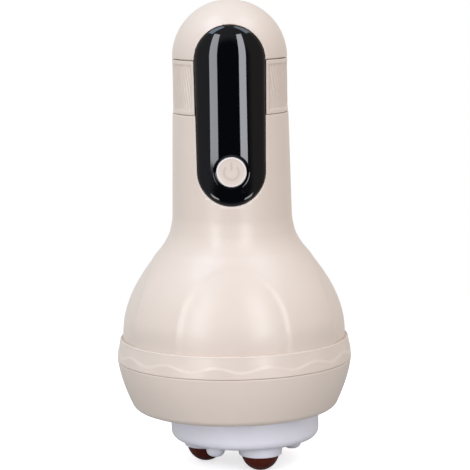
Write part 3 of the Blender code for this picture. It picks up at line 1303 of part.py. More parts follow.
def make_motor_end_cap():
    """Plastic end of the motor with two terminals."""
    boss_top = MOTOR_END_TOP_Z + MOTOR_END_BOSS_HEIGHT
    profile = (
        (0.0, MOTOR_END_Z), (MOTOR_RADIUS, MOTOR_END_Z), (MOTOR_RADIUS, MOTOR_END_TOP_Z - MOTOR_EDGE),
        (MOTOR_RADIUS - MOTOR_EDGE, MOTOR_END_TOP_Z), (MOTOR_END_BOSS_RADIUS, MOTOR_END_TOP_Z),
        (MOTOR_END_BOSS_RADIUS, boss_top), (0.0, boss_top),
    )
    obj = add_object("motor_end_cap", turned(profile, FACETS_PART), black_plastic("motor_end_cap"))
    wide = TERMINAL_WIDTH / 2
    thin = TERMINAL_THICKNESS / 2
    low = MOTOR_END_TOP_Z - FUSE_DEPTH
    high = MOTOR_END_TOP_Z + TERMINAL_HEIGHT
    places = (-TERMINAL_RING, TERMINAL_RING)
    join(obj, merged([block((x - thin, -wide, low), (x + thin, wide, high)) for x in places]))
    smooth(obj)


def eased(route):
    """Points on a smooth curve through the route's own points."""
    padded = [route[0] * 2 - route[1]] + route + [route[-1] * 2 - route[-2]]
    points = []
    for before, first, second, after in zip(padded, padded[1:], padded[2:], padded[3:]):
        for t in (0.0, 0.5):
            points.append(first + ((second - before) * t + (before * 2 - first * 5 + second * 4 - after) * t ** 2
                                   + (first * 3 - before - second * 3 + after) * t ** 3) / 2)
    return points + [route[-1]]


def make_motor_lead(side, name):
    """Insulated lead from a motor terminal, through the battery holder, to the back of the control board."""
    terminal_z = MOTOR_END_TOP_Z + TERMINAL_HEIGHT + SEAT_GAP
    inner_x = side * LEAD_RADIUS * 2
    board_y = BOARD_BACK_Y + SEAT_GAP
    end_z = BOARD_FOOT_Z + BOARD_SUPPORT_INSET * 2
    route = [
        Vector((side * TERMINAL_RING, 0.0, terminal_z)),
        Vector((side * TERMINAL_RING, 0.0, terminal_z + LEAD_RADIUS * 2)),
        Vector((side * TERMINAL_RING, 0.0, terminal_z + LEAD_RADIUS * 4)),
        Vector((inner_x, -LEAD_HOLE_RING, BATTERY_STOP_Z - HOLDER_FLOOR * 2)),
        Vector((inner_x, -LEAD_HOLE_RING, BATTERY_STOP_Z + HOLDER_FLOOR)),
        Vector((inner_x, board_y + LEAD_RADIUS * 3, end_z)),
        Vector((inner_x, board_y + LEAD_RADIUS * 2, end_z)),
        Vector((inner_x, board_y, end_z)),
    ]
    points = eased(route)
    curve = bpy.data.curves.new(name, "CURVE")
    curve.dimensions = "3D"
    curve.bevel_depth = LEAD_RADIUS
    curve.bevel_resolution = 1
    curve.use_fill_caps = True
    spline = curve.splines.new("POLY")
    spline.points.add(len(points) - 1)
    for item, point in zip(spline.points, points):
        item.co = (*point, 1.0)
    swept = bpy.data.objects.new("swept", curve)
    bm = bmesh.new()
    bm.from_mesh(swept.to_mesh())
    bpy.data.objects.remove(swept)
    bmesh.ops.remove_doubles(bm, verts=bm.verts, dist=MERGE_DISTANCE)
    bmesh.ops.triangulate(bm, faces=bm.faces)
    bmesh.ops.recalc_face_normals(bm, faces=bm.faces)
    obj = add_object(name, bm, finish(name, (0.45, 0.02, 0.02), 0.45))
    obj.data.shade_smooth()


def make_eccentric_shaft():
    """Shaft with a disc at its foot, whose crank pin carries the head off the axis."""
    profile = (
        (0.0, CRANK_DISC_Z), (CRANK_DISC_RADIUS, CRANK_DISC_Z), (CRANK_DISC_RADIUS, CRANK_DISC_TOP_Z),
        (SHAFT_RADIUS, CRANK_DISC_TOP_Z), (SHAFT_RADIUS, SHAFT_TOP_Z), (0.0, SHAFT_TOP_Z),
    )
    obj = add_object("eccentric_shaft", turned(profile, FACETS_PART), steel("eccentric_shaft"))
    join(obj, rod(CRANK_PIN_RADIUS, CRANK_PIN_Z, CRANK_DISC_Z + FUSE_DEPTH, FACETS_PART, HEAD_CENTRE))
    hole_top = CRANK_PIN_Z + PIN_SCREW_LENGTH
    cut(obj, rod(SCREW_HOLE_RADIUS, CRANK_PIN_Z - CUT_OVERRUN, hole_top, FACETS_SCREW, HEAD_CENTRE))
    smooth(obj)


def make_counterweight():
    """Half disc on the far side of the crank pin."""
    obj = add_object("counterweight", rod(WEIGHT_HUB_RADIUS, WEIGHT_Z, WEIGHT_TOP_Z, FACETS_PART),
                     finish("counterweight", (0.42, 0.43, 0.45), 0.45, 1.0))
    inner = CRANK_DISC_RADIUS + SEAT_GAP
    low = WEIGHT_Z - WEIGHT_DROP
    profile = ((SHAFT_RADIUS, WEIGHT_Z), (inner, WEIGHT_Z), (inner, low), (WEIGHT_RADIUS, low),
               (WEIGHT_RADIUS, WEIGHT_TOP_Z), (SHAFT_RADIUS, WEIGHT_TOP_Z))
    join(obj, sector(profile, FACETS_SMALL, math.pi - WEIGHT_HALF_ANGLE, WEIGHT_HALF_ANGLE * 2))
    cut(obj, rod(BUSH_BORE_RADIUS, WEIGHT_Z - CUT_OVERRUN, WEIGHT_TOP_Z + CUT_OVERRUN, FACETS_PART))
    smooth(obj)


def make_pin_washer():
    """Washer under the head's bearing."""
    bm = pipe(WASHER_RADIUS, SCREW_HOLE_RADIUS, WASHER_Z, WASHER_TOP_Z, FACETS_SMALL, HEAD_CENTRE)
    smooth(add_object("pin_washer", bm, steel("pin_washer")))


def collar_solids():
    """Collars that hold the balls from below."""
    mouth = BALL_RADIUS - COLLAR_MOUTH_DROP
    top = DISC_Z + FUSE_DEPTH
    profile = ((0.0, mouth), (COLLAR_MOUTH_RADIUS, mouth), (COLLAR_FOOT_RADIUS, top), (0.0, top))
    return merged([turned(profile, FACETS_PART, place) for place in ball_places()])


def nub_solids():
    """Low domed nubs between the collars."""
    radius = (NUB_RADIUS ** 2 + NUB_HEIGHT ** 2) / (NUB_HEIGHT * 2)
    middle = DISC_Z - NUB_HEIGHT + radius
    spread = math.asin(NUB_RADIUS / radius)
    dome = arc((0.0, middle), radius, -math.pi / 2, spread - math.pi / 2, NUB_STEPS)
    top = DISC_Z + FUSE_DEPTH
    profile = [(0.0, middle - radius)] + dome[1:] + [(NUB_RADIUS, top), (0.0, top)]
    return merged([turned(profile, FACETS_SMALL, place)
                   for place in ring_places(NUB_RING, nub_angles(), HEAD_CENTRE)])


def ball_pockets():
    """Round pockets that close in under each ball, with a step for its seat."""
    foot = -math.asin((COLLAR_MOUTH_DROP + CUT_OVERRUN) / BALL_POCKET_RADIUS)
    bowl = arc((0.0, BALL_RADIUS), BALL_POCKET_RADIUS, foot, 0.0, BALL_SEAT_STEPS)
    step = BALL_SEAT_Z - SEAT_GAP
    wide = BALL_SEAT_RADIUS + SEAT_GAP
    top = DISC_FLOOR_Z + CUT_OVERRUN
    profile = [(0.0, bowl[0][1])] + bowl + [(BALL_POCKET_RADIUS, step), (wide, step), (wide, top), (0.0, top)]
    return merged([turned(profile, FACETS_PART, place) for place in ball_places()])


def head_cover_holes():
    """Screw holes of the bosses and the stepped hole of the screw cap."""
    solids = [rod(SCREW_HOLE_RADIUS, DISC_FLOOR_Z, HEAD_PLATE_Z + CUT_OVERRUN, FACETS_SCREW, place)
              for place in head_screw_places()]
    low = DISC_Z - CUT_OVERRUN
    step = DISC_Z + SCREW_CAP_THICKNESS + SEAT_GAP
    high = DISC_FLOOR_Z + CUT_OVERRUN
    wide = SCREW_CAP_RADIUS + SEAT_GAP
    narrow = SCREW_CAP_PLUG_RADIUS + SEAT_GAP
    profile = ((0.0, low), (wide, low), (wide, step), (narrow, step), (narrow, high), (0.0, high))
    solids.append(turned(profile, FACETS_PART, HEAD_CENTRE))
    return merged(solids)


def make_head_cover():
    """White dish of the head, with its collars and nubs."""
    corner = (DISC_RADIUS - DISC_EDGE_RADIUS, DISC_Z + DISC_EDGE_RADIUS)
    edge = arc(corner, DISC_EDGE_RADIUS, -math.pi / 2, 0.0, DISC_EDGE_STEPS)
    fillet = DISC_EDGE_RADIUS / 2
    rim = [(DISC_RADIUS, DISC_TOP_Z - DISC_TOP_EDGE), (DISC_RADIUS - DISC_TOP_EDGE, DISC_TOP_Z)]
    inner = [(DISC_BORE_RADIUS, DISC_TOP_Z), (DISC_BORE_RADIUS, DISC_FLOOR_Z + fillet),
             (DISC_BORE_RADIUS - fillet, DISC_FLOOR_Z), (0.0, DISC_FLOOR_Z)]
    bm = bmesh.new()
    rims = [skin(bm, [(0.0, DISC_Z)] + edge + rim, FACETS_HEAD), skin(bm, inner, FACETS_INNER)]
    close_skins(bm, rims, HEAD_CENTRE)
    obj = add_object("head_cover", bm, white_plastic("head_cover"), HEAD_PIVOT)
    join(obj, collar_solids())
    join(obj, nub_solids())
    join(obj, merged([rod(HEAD_BOSS_RADIUS, DISC_FLOOR_Z - FUSE_DEPTH, HEAD_PLATE_Z - SEAT_GAP, FACETS_SCREW, place)
                      for place in head_screw_places()]))
    cut(obj, merged([ball_pockets(), head_cover_holes()]))
    smooth(obj)


def make_screw_cap():
    """Round cover over the head's central screw."""
    top = DISC_Z + SCREW_CAP_THICKNESS
    plug_top = top + SCREW_CAP_PLUG_HEIGHT
    inner = SCREW_CAP_PLUG_RADIUS - SCREW_CAP_PLUG_WALL
    profile = ((0.0, DISC_Z), (SCREW_CAP_RADIUS, DISC_Z), (SCREW_CAP_RADIUS, top), (SCREW_CAP_PLUG_RADIUS, top),
               (SCREW_CAP_PLUG_RADIUS, plug_top), (inner, plug_top), (inner, top), (0.0, top))
    bm = turned(profile, FACETS_PART, HEAD_CENTRE)
    smooth(add_object("screw_cap", bm, white_plastic("screw_cap"), HEAD_PIVOT))


def head_plate_holes():
    """Stepped well for the bearing and sunk holes for the screws."""
    lip = HUB_BORE_RADIUS - HUB_LIP_WIDTH
    low = HUB_Z - CUT_OVERRUN
    high = HUB_TOP_Z + CUT_OVERRUN
    well = ((0.0, low), (lip, low), (lip, HUB_FLOOR_Z), (HUB_BORE_RADIUS, HUB_FLOOR_Z), (HUB_BORE_RADIUS, high),
            (0.0, high))
    low = HEAD_PLATE_Z - CUT_OVERRUN
    seat = HEAD_SCREW_SEAT_Z - SEAT_GAP
    high = HEAD_PLATE_TOP_Z + CUT_OVERRUN
    wide = SCREW_HEAD_RADIUS + SEAT_GAP
    sink = ((0.0, low), (SCREW_HOLE_RADIUS, low), (SCREW_HOLE_RADIUS, seat), (wide, seat), (wide, high), (0.0, high))
    sinks = [turned(sink, FACETS_SCREW, place) for place in head_screw_places()]
    return merged([turned(well, FACETS_PART, HEAD_CENTRE)] + sinks)


def make_head_plate():
    """Plate that closes the head, holds its bearing and presses on the ball seats."""
    radius = DISC_BORE_RADIUS - SEAT_GAP
    obj = add_object("head_plate", rod(radius, HEAD_PLATE_Z, HEAD_PLATE_TOP_Z, FACETS_INNER, HEAD_CENTRE),
                     white_plastic("head_plate"), HEAD_PIVOT)
    join(obj, rod(HUB_BORE_RADIUS + HUB_WALL, HUB_Z, HUB_TOP_Z, FACETS_PART, HEAD_CENTRE))
    foot = BALL_SEAT_TOP_Z + SEAT_GAP
    join(obj, merged([rod(PRESS_POST_RADIUS, foot, HEAD_PLATE_Z + FUSE_DEPTH, FACETS_SCREW, place)
                      for place in ball_places()]))
    cut(obj, head_plate_holes())
    smooth(obj)


def make_head_bearing():
    """Ball bearing of the head, with sunk shields."""
    inner = BEARING_BORE_RADIUS + BEARING_RACE
    outer = BEARING_RADIUS - BEARING_RACE
    low = BEARING_Z + BEARING_SHIELD_DEPTH
    high = BEARING_TOP_Z - BEARING_SHIELD_DEPTH
    profile = ((BEARING_BORE_RADIUS, BEARING_Z), (inner, BEARING_Z), (inner, low), (outer, low), (outer, BEARING_Z),
               (BEARING_RADIUS, BEARING_Z), (BEARING_RADIUS, BEARING_TOP_Z), (outer, BEARING_TOP_Z), (outer, high),
               (inner, high), (inner, BEARING_TOP_Z), (BEARING_BORE_RADIUS, BEARING_TOP_Z))
    bm = turned(profile, FACETS_PART, HEAD_CENTRE)
    smooth(add_object("head_bearing", bm, steel("head_bearing"), HEAD_PIVOT))


def make_massage_ball(letter, place):
    """Glossy ball, free in its collar."""
    centre = (*place, BALL_RADIUS)
    bm = bmesh.new()
    bmesh.ops.create_uvsphere(bm, u_segments=BALL_COLUMNS, v_segments=BALL_ROWS, radius=BALL_RADIUS)
    bmesh.ops.translate(bm, verts=bm.verts, vec=centre)
    name = "massage_ball_" + letter
    smooth(add_object(name, bm, finish(name, (0.085, 0.016, 0.012), 0.12), centre))


def make_ball_seat(letter, place):
    """Slippery cup that bears on the ball from above."""
    rim = math.asin((BALL_SEAT_Z - BALL_RADIUS) / BALL_POCKET_RADIUS)
    bowl = arc((0.0, BALL_RADIUS), BALL_POCKET_RADIUS, rim, math.pi / 2, BALL_SEAT_STEPS)
    profile = bowl[:-1] + [(0.0, BALL_RADIUS + BALL_POCKET_RADIUS), (0.0, BALL_SEAT_TOP_Z),
                           (BALL_SEAT_RADIUS, BALL_SEAT_TOP_Z), (BALL_SEAT_RADIUS, BALL_SEAT_Z)]
    name = "ball_seat_" + letter
    smooth(add_object(name, turned(profile, FACETS_PART, place), white_acetal(name), HEAD_PIVOT))


def make_screw(name, place, seat, length, direction, pivot=(0.0, 0.0, 0.0)):
    """Pan-head screw with its head's underside at seat; direction 1 points its shank up, -1 down."""
    end = seat + direction * length
    head = seat - direction * SCREW_HEAD_HEIGHT
    profile = ((0.0, head), (SCREW_HEAD_RADIUS, head), (SCREW_HEAD_RADIUS, seat), (SCREW_RADIUS, seat),
               (SCREW_RADIUS, end), (0.0, end))
    smooth(add_object(name, turned(profile, FACETS_SCREW, place), steel(name), pivot))


def main():
    """Builds every piece."""
    clear_scene()
    make_body_shell()
    make_top_cap()
    make_grip_ring()
    make_display_panel()
    make_power_button()
    make_switch()
    make_control_board()
    make_display_module()
    make_charge_socket()
    make_charge_board()
    make_battery_cells()
    make_battery_holder()
    make_lower_shell()
    make_chassis_plate()
    make_output_bush()
    make_gear_cover()
    make_output_gear()
    make_intermediate_gear()
    make_gear_pin()
    make_motor_pinion()
    make_motor_shaft()
    make_motor_can()
    make_motor_end_cap()
    make_motor_lead(-1, "motor_lead_left")
    make_motor_lead(1, "motor_lead_right")
    make_eccentric_shaft()
    make_counterweight()
    make_pin_washer()
    make_head_cover()
    make_screw_cap()
    make_head_plate()
    make_head_bearing()
    for letter, place in zip("abc", ball_places()):
        make_massage_ball(letter, place)
        make_ball_seat(letter, place)
    make_screw("pin_screw", HEAD_CENTRE, WASHER_Z - SEAT_GAP, PIN_SCREW_LENGTH, 1)
    for letter, place in zip("abc", head_screw_places()):
        make_screw("head_screw_" + letter, place, HEAD_SCREW_SEAT_Z, HEAD_SCREW_LENGTH, -1, HEAD_PIVOT)
    for letter, place in zip("abcd", base_screw_places()):
        make_screw("base_screw_" + letter, place, BASE_SCREW_SEAT_Z, BASE_SCREW_LENGTH, 1)


main()
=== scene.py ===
"""Looks of the abdominal massager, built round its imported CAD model. Metres, +Z up, front at -Y."""
import math

import bmesh
import bpy
from mathutils import Matrix, Vector


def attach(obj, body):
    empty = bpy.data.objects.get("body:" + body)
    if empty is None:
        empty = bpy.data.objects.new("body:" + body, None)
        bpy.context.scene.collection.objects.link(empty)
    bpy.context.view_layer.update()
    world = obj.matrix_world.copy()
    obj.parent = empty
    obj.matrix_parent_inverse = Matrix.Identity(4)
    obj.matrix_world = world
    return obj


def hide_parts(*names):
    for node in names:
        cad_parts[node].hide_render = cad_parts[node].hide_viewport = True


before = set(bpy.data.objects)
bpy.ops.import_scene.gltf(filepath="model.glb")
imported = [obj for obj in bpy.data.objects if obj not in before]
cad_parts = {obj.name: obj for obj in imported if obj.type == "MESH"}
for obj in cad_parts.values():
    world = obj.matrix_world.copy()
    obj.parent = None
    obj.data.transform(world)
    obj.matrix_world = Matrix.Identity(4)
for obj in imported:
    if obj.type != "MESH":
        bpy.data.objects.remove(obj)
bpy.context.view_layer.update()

# Metres in a millimetre: sizes above the studio are in millimetres
MM = 0.001
# Columns of the large rings, the gap between parts and the rounding of their edges
COLUMNS = 336
GAP = 0.3
EDGE_R = 0.3

# Levels and radii of the housing, the same as in the CAD model
BASE_Z, SEAM_Z, LIP_Z = 29.5, 56.8, 67.8
NECK_FOOT_Z, NECK_TOP_Z, CAP_Z = 134.0, 187.1, 215.7
HANDLE_R, NECK_TOP_R, NECK_FOOT_R = 30.0, 30.3, 31.4
BELL_FOOT_R, LIP_R, BAND_R = 59.4, 60.4, 61.9
SLEEVE_R, RING_BORE_R = 27.3, 27.6

# Bell and neck: shares of the way down and of the way out, rows, wall, fuller diagonals, bores and arches
BELL_POINTS = (
    (0.00, 0.000), (0.13, 0.048), (0.20, 0.115), (0.27, 0.222), (0.33, 0.340), (0.46, 0.574),
    (0.59, 0.764), (0.72, 0.898), (0.85, 0.977), (1.00, 1.000),
)
BELL_ROWS, BELL_WALL, BELL_WALL_DROP = 92, 2.8, 0.6
NECK_ROWS, NECK_FIRST_ROW, NECK_ROW_STEP = 22, 2.0, 2.4
SWELL, SWELL_FOOT, SWELL_TOP = 0.9, (0.0, 0.30), (0.45, 1.15)
STOP_Z, STOP_R, NECK_BORE_R, SLEEVE_BORE_R = 138.0, 28.8, 26.0, 25.2
ARCH_FOOT, ARCH_TOP, ARCH_HALF, ARCH_DEPTH = 68.6, 111.2, math.radians(29), 0.6
ARCH_END, ARCH_FADE, ARCH_FADE_START, ARCH_OUTSIDE, ARCH_INSIDE = 1.05, 0.25, 0.6, -1.0, 2.4

# Openings of the housing: the display's window, the charging socket's slot and the button's bore
WINDOW_LOW, WINDOW_HIGH = (-8.8, -30.0, 182.8), (8.8, -18.0, 207.4)
SLOT_Z, SLOT_HALF, SLOT_R, SLOT_START_Y, SLOT_LENGTH = 149.0, 2.9, 1.9, 22.0, 14.0
BORE_START_Y, BORE_STEP, BORE_DEPTH = -33.5, 8.5, 16.0

# Band: lip, wave, seam and the lower shell's tongue
LIP_ROUND, LIP_DROP, BAND_FOOT_RISE = 0.72, 0.3, 0.7
WAVE_Z, WAVE_HEIGHT, WAVES, WAVE_TURN = 61.6, 1.3, 14, math.radians(-9.3)
STEP_HALF, STEP_TOP_R, STEP_FOOT_R = 1.15, 61.05, 61.68
SEAM_HALF, SEAM_EDGE_R = 0.1, 0.2
TONGUE_IN_R, TONGUE_OUT_R, TONGUE_TOP_Z = 59.0, 60.1, 58.95

# Lower shell: shares of the way down and of the way in, its corner, opening and screw wells
LOWER_POINTS = ((0.0, 0.0), (0.28, 0.18), (0.55, 0.43), (0.80, 0.725), (1.0, 1.0))
LOWER_ROWS, LOWER_START_DROP = 40, 0.55
CORNER_AT, CORNER_R = (49.4, BASE_Z + 6.5), 5.8
BASE_WALL, OPENING_R, OPENING_EDGE_R = 2.5, 19.0, 0.4
WELLS, SCREW_RING, WELL_R, WELL_MOUTH_R = 4, 45.5, 3.5, 4.3

# Grip ring: slanted ribs and the plain border round them
RIBS, RIB_STEPS, RIB_DEPTH, RIB_SINK, RIB_LEAN = 96, 12, 0.5, 0.15, math.radians(11)
RIB_FLANK = (0.10, 0.80)
RING_BORDER, RING_SIDE, RING_TOP_GAP, RING_EDGE_R, BORDER_SLOPE = 2.1, 19.8, 0.5, 0.25, 0.35

# Panel: height and radius of its round ends, then the shape of its face
PANEL_TOP = (215.3, 18.1)
PANEL_FOOT = (158.6, 17.5)
PRISM_DEPTH = 34.0
PANEL_SINK, PANEL_SLOPE, PANEL_BEND = 0.2, 0.0207, 40.0
RIM_WIDTH, RIM_DROP = 0.5, 0.3
ROLL_WIDTH, ROLL_DROP = 2.6, 0.16
END_WIDTH, END_DROP, END_START, END_FULL = 5.0, 0.3, 4.0, 13.0
PANEL_HOLE_R, DISH_WIDTH, DISH_DEPTH = 8.05, 1.4, 0.4

# Button with its bore and its mark
BUTTON_R, BUTTON_EDGE_R, BUTTON_PROUD, FLANGE_R = 7.75, 0.55, 0.3, 9.5
# Radius and depth past which the button's faces take the painted rim highlight
BUTTON_HIGHLIGHT_R, BUTTON_HIGHLIGHT_DEPTH = 6.9, 0.7
BUTTON_BORE_R, FLANGE_BORE_R = 8.1, 9.9
MARK_IN_R, MARK_OUT_R, MARK_ROOT_Y, MARK_RISE = 3.2, 4.35, -29.9, 0.27
MARK_BAR_HALF, MARK_BAR_FOOT, MARK_BAR_TOP = 0.55, 0.9, 5.1

# Massage head, which rests off the handle's axis
HEAD_X = 5.0
DISC_R, DISC_Z, DISC_TOP = 39.25, 14.0, 28.3
DISC_EDGE_R, DISC_TOP_EDGE_R, DISC_WALL, DISC_FLOOR = 4.6, 0.6, 2.4, 2.2
BALL_R, BALL_RING, NUB_RING = 10.0, 21.3, 25.1
BALL_TURNS = [math.radians(-68.7 + 120 * index) for index in range(3)]
POCKET_R, SEAT_ROOM_R, SEAT_ROOM_Z, INSIDE_Z = 10.5, 11.8, 14.8, 18.2
COLLAR_BORE_R, COLLAR_EDGE_AT, COLLAR_EDGE_R = 10.4, (10.8, 8.9), 0.35
ROOT_Z = 14.4
NUB_Z, NUB_R = 7.6, 3.3
SCREW_CAP_R, SCREW_CAP_TOP, PLUG_R = 8.0, 15.0, 6.2


# Mesh tools

def smoothstep(low, high, value):
    """0 below low, 1 above high, and a soft step between."""
    t = min(max((value - low) / (high - low), 0.0), 1.0)
    return t * t * (3 - 2 * t)


def curve_at(points, t, level_ends):
    """Value at t of a smooth curve through (t, value) points; its ends are level or keep their slope."""
    last = len(points) - 1

    def slope(index):
        if level_ends and index in (0, last):
            return 0.0
        before, after = points[max(index - 1, 0)], points[min(index + 1, last)]
        return (after[1] - before[1]) / (after[0] - before[0])

    index = next((index for index in range(last) if t <= points[index + 1][0]), last - 1)
    low, high = points[index], points[index + 1]
    width = high[0] - low[0]
    u = (t - low[0]) / width
    return (low[1] * (1 + 2 * u) * (1 - u) ** 2 + high[1] * u * u * (3 - 2 * u)
            + slope(index) * width * u * (1 - u) ** 2 - slope(index + 1) * width * u * u * (1 - u))


def arc(centre, radius, start, end, steps):
    """Points on an arc, angles in degrees."""
    turns = [math.radians(start + (end - start) * step / steps) for step in range(steps + 1)]
    return [(centre[0] + radius * math.cos(turn), centre[1] + radius * math.sin(turn)) for turn in turns]


def between(start, end, share):
    """The point at a share of the way between two flat points."""
    return start[0] + (end[0] - start[0]) * share, start[1] + (end[1] - start[1]) * share


def ball_curve(radius, heights):
    """Points at the given heights on a circle round a ball's middle."""
    return [(math.sqrt(radius ** 2 - (height - BALL_R) ** 2), height) for height in heights]


def place(name, bm, material, sharp=35):
    """Makes an object of a bmesh in millimetres; edges past the sharp angle, in degrees, stay sharp."""
    bmesh.ops.scale(bm, verts=bm.verts, vec=(MM, MM, MM))
    mesh = bpy.data.meshes.new(name)
    bm.to_mesh(mesh)
    bm.free()
    if material:
        mesh.materials.append(material)
    mesh.shade_smooth()
    mesh.set_sharp_from_angle(angle=math.radians(sharp))
    obj = bpy.data.objects.new(name, mesh)
    bpy.context.scene.collection.objects.link(obj)
    return obj


def rings(rows, columns=COLUMNS, centre=(0.0, 0.0), closed=True):
    """A skin of level rings; a row is (radius, height) or a function of the turn that gives them.

    A row of radius 0 is one point, and a closed skin joins its last row to the first.
    """
    bm = bmesh.new()
    levels = []
    for row in rows:
        if not callable(row) and row[0] == 0:
            levels.append([bm.verts.new((centre[0], centre[1], row[1]))])
            continue
        level = []
        for index in range(columns):
            turn = math.tau * index / columns
            radius, height = row(turn) if callable(row) else row
            x, y = centre[0] + radius * math.sin(turn), centre[1] - radius * math.cos(turn)
            level.append(bm.verts.new((x, y, height)))
        levels.append(level)
    pairs = list(zip(levels, levels[1:]))
    if closed:
        pairs.append((levels[-1], levels[0]))
    for first, second in pairs:
        for index in range(columns):
            corners = [first[index % len(first)], first[(index + 1) % columns % len(first)],
                       second[(index + 1) % columns % len(second)], second[index % len(second)]]
            corners = list(dict.fromkeys(corners))
            if len(corners) > 2:
                bm.faces.new(corners)
    bmesh.ops.recalc_face_normals(bm, faces=bm.faces)
    return bm


def extrude(bm, corners, shift):
    """Adds a solid to the bmesh: a flat face through the corners, pulled along the shift."""
    face = bm.faces.new([bm.verts.new(corner) for corner in corners])
    far = bmesh.ops.extrude_face_region(bm, geom=[face])["geom"]
    bmesh.ops.translate(bm, verts=[v for v in far if isinstance(v, bmesh.types.BMVert)], vec=shift)
    bmesh.ops.recalc_face_normals(bm, faces=bm.faces)


def block(low, high):
    """A box between two corners."""
    bm = bmesh.new()
    bmesh.ops.create_cube(bm, size=1.0)
    bmesh.ops.scale(bm, verts=bm.verts, vec=[b - a for a, b in zip(low, high)])
    bmesh.ops.translate(bm, verts=bm.verts, vec=[(a + b) / 2 for a, b in zip(low, high)])
    return bm


def lay_back(bm, at):
    """Turns a form that stands on z = 0 so that its height runs towards the back, from the point at."""
    bmesh.ops.rotate(bm, verts=bm.verts, cent=(0, 0, 0), matrix=Matrix.Rotation(-math.pi / 2, 3, "X"))
    bmesh.ops.translate(bm, verts=bm.verts, vec=at)
    return bm


def cut(obj, bm):
    """Takes a bmesh in millimetres away from the object."""
    tool = place("tool", bm, None)
    modifier = obj.modifiers.new("Cut", "BOOLEAN")
    modifier.operation = "DIFFERENCE"
    modifier.solver = "EXACT"
    modifier.object = tool
    bpy.context.view_layer.update()
    result = bpy.data.meshes.new_from_object(obj.evaluated_get(bpy.context.evaluated_depsgraph_get()))
    obj.modifiers.clear()
    obj.data = result
    bpy.data.objects.remove(tool)


def repeated(name, make, places, material):
    """One object of the same form at several places."""
    whole = bmesh.new()
    for at in places:
        mesh = bpy.data.meshes.new(name)
        make(at).to_mesh(mesh)
        whole.from_mesh(mesh)
        bpy.data.meshes.remove(mesh)
    return place(name, whole, material, 50)


# Materials

def colour(code):
    """Linear colour from an sRGB hex code."""
    parts = [int(code[index:index + 2], 16) / 255 for index in (0, 2, 4)]
    linear = [part / 12.92 if part <= 0.04045 else ((part + 0.055) / 1.055) ** 2.4 for part in parts]
    return (*linear, 1.0)


def new_material(name, **values):
    """A material with one Principled shader; returns the material, its tree and the shader."""
    material = bpy.data.materials.new(name)
    material.use_nodes = True
    shader = material.node_tree.nodes["Principled BSDF"]
    for key, value in values.items():
        shader.inputs[key.replace("_", " ")].default_value = value
    return material, material.node_tree, shader


def add(tree, kind, inputs=None, **settings):
    """Adds a node; an input is given a value or another node's socket."""
    node = tree.nodes.new("ShaderNode" + kind)
    for key, value in settings.items():
        setattr(node, key, value)
    for key, value in (inputs or {}).items():
        socket = node.inputs[key]
        if isinstance(value, bpy.types.NodeSocket):
            tree.links.new(value, socket)
        else:
            socket.default_value = value
    return node


def remap(tree, value, start, end, low, high, **settings):
    """The range of a value from start to end, mapped to the range from low to high."""
    node = add(tree, "MapRange", {"Value": value, "From Min": start, "From Max": end,
                                  "To Min": low, "To Max": high}, **settings)
    return node.outputs["Result"]


# Places of the Mix node's sockets: both colours and their mix, both numbers and their mix
MIX_COLOUR_A, MIX_COLOUR_B, MIX_COLOUR = 6, 7, 2
MIX_NUMBER_A, MIX_NUMBER_B, MIX_NUMBER = 2, 3, 0
# Soft patches of tone and roughness, about 18 mm wide, and the range that most of their noise lies in
PATCHES_PER_METRE = 55.0
NOISE_LOW, NOISE_HIGH = 0.3, 0.7


def surface(name, base, rough, grain, depth, patch=0.03, spread=0.04, **values):
    """Moulded or worked surface: fine grain (size and depth in mm), soft patches of tone and roughness."""
    material, tree, shader = new_material(name, **values)
    point = add(tree, "TexCoord").outputs["Object"]
    patches = add(tree, "TexNoise", {"Vector": point, "Scale": PATCHES_PER_METRE, "Detail": 3.0})
    broad = patches.outputs["Fac"]
    fine = add(tree, "TexNoise", {"Vector": point, "Scale": 1 / (grain * MM), "Detail": 2.0}).outputs["Fac"]
    dark = [channel * (1 - patch) for channel in colour(base)[:3]] + [1.0]
    tone = add(tree, "Mix", {"Factor": broad, MIX_COLOUR_A: dark, MIX_COLOUR_B: colour(base)},
               data_type="RGBA")
    tree.links.new(tone.outputs[MIX_COLOUR], shader.inputs["Base Color"])
    level = remap(tree, broad, NOISE_LOW, NOISE_HIGH, rough - spread / 2, rough + spread / 2)
    tree.links.new(level, shader.inputs["Roughness"])
    bump = add(tree, "Bump", {"Height": fine, "Strength": 1.0, "Distance": depth * MM})
    tree.links.new(bump.outputs["Normal"], shader.inputs["Normal"])
    return material


# Satin cream ABS with a fine spark-eroded grain
CREAM = surface("cream_abs", "E7D8CA", 0.31, 0.35, 0.008)
# The button is the same plastic with a smoother face
BUTTON = surface("button_abs", "EADCCF", 0.30, 0.30, 0.006)
# Its rim, paler: a painted highlight where the rounded edge catches the light
RIM_PAINTED_HIGHLIGHT = surface("button_rim_painted_highlight", "F8F0EB", 0.22, 0.30, 0.004)
# Mark on the button, a shade darker than its face
MARK = surface("button_mark", "DDCEC4", 0.40, 0.30, 0.004)
# Cool white ABS of the massage head
WHITE = surface("white_abs", "F0EFF6", 0.32, 0.30, 0.008)
# High-gloss black acrylic cover
GLOSS = surface("black_acrylic", "05060A", 0.045, 2.5, 0.0006, spread=0.012,
                Coat_Weight=0.35, Coat_Roughness=0.03)
# Cast resin of the balls, dark red-brown and polished
RESIN = surface("red_resin", "5C1D0B", 0.09, 1.8, 0.002, patch=0.45, Specular_IOR_Level=0.3)
# Black glass-filled nylon
BLACK = surface("black_nylon", "17181A", 0.48, 0.30, 0.012)
# Grey moulded carrier
GREY = surface("grey_abs", "8E9296", 0.50, 0.30, 0.012)
# White acetal of gears and ball seats
ACETAL = surface("acetal", "EFEDE4", 0.38, 0.60, 0.006)
# Zinc-plated steel
STEEL = surface("zinc_steel", "C3C4C6", 0.30, 0.50, 0.006, Metallic=1.0)
# Sintered bronze
BRONZE = surface("sintered_bronze", "B4864E", 0.40, 0.25, 0.010, Metallic=1.0)
# Cast iron weight, oiled
IRON = surface("cast_iron", "6E7074", 0.50, 0.50, 0.030, Metallic=1.0)
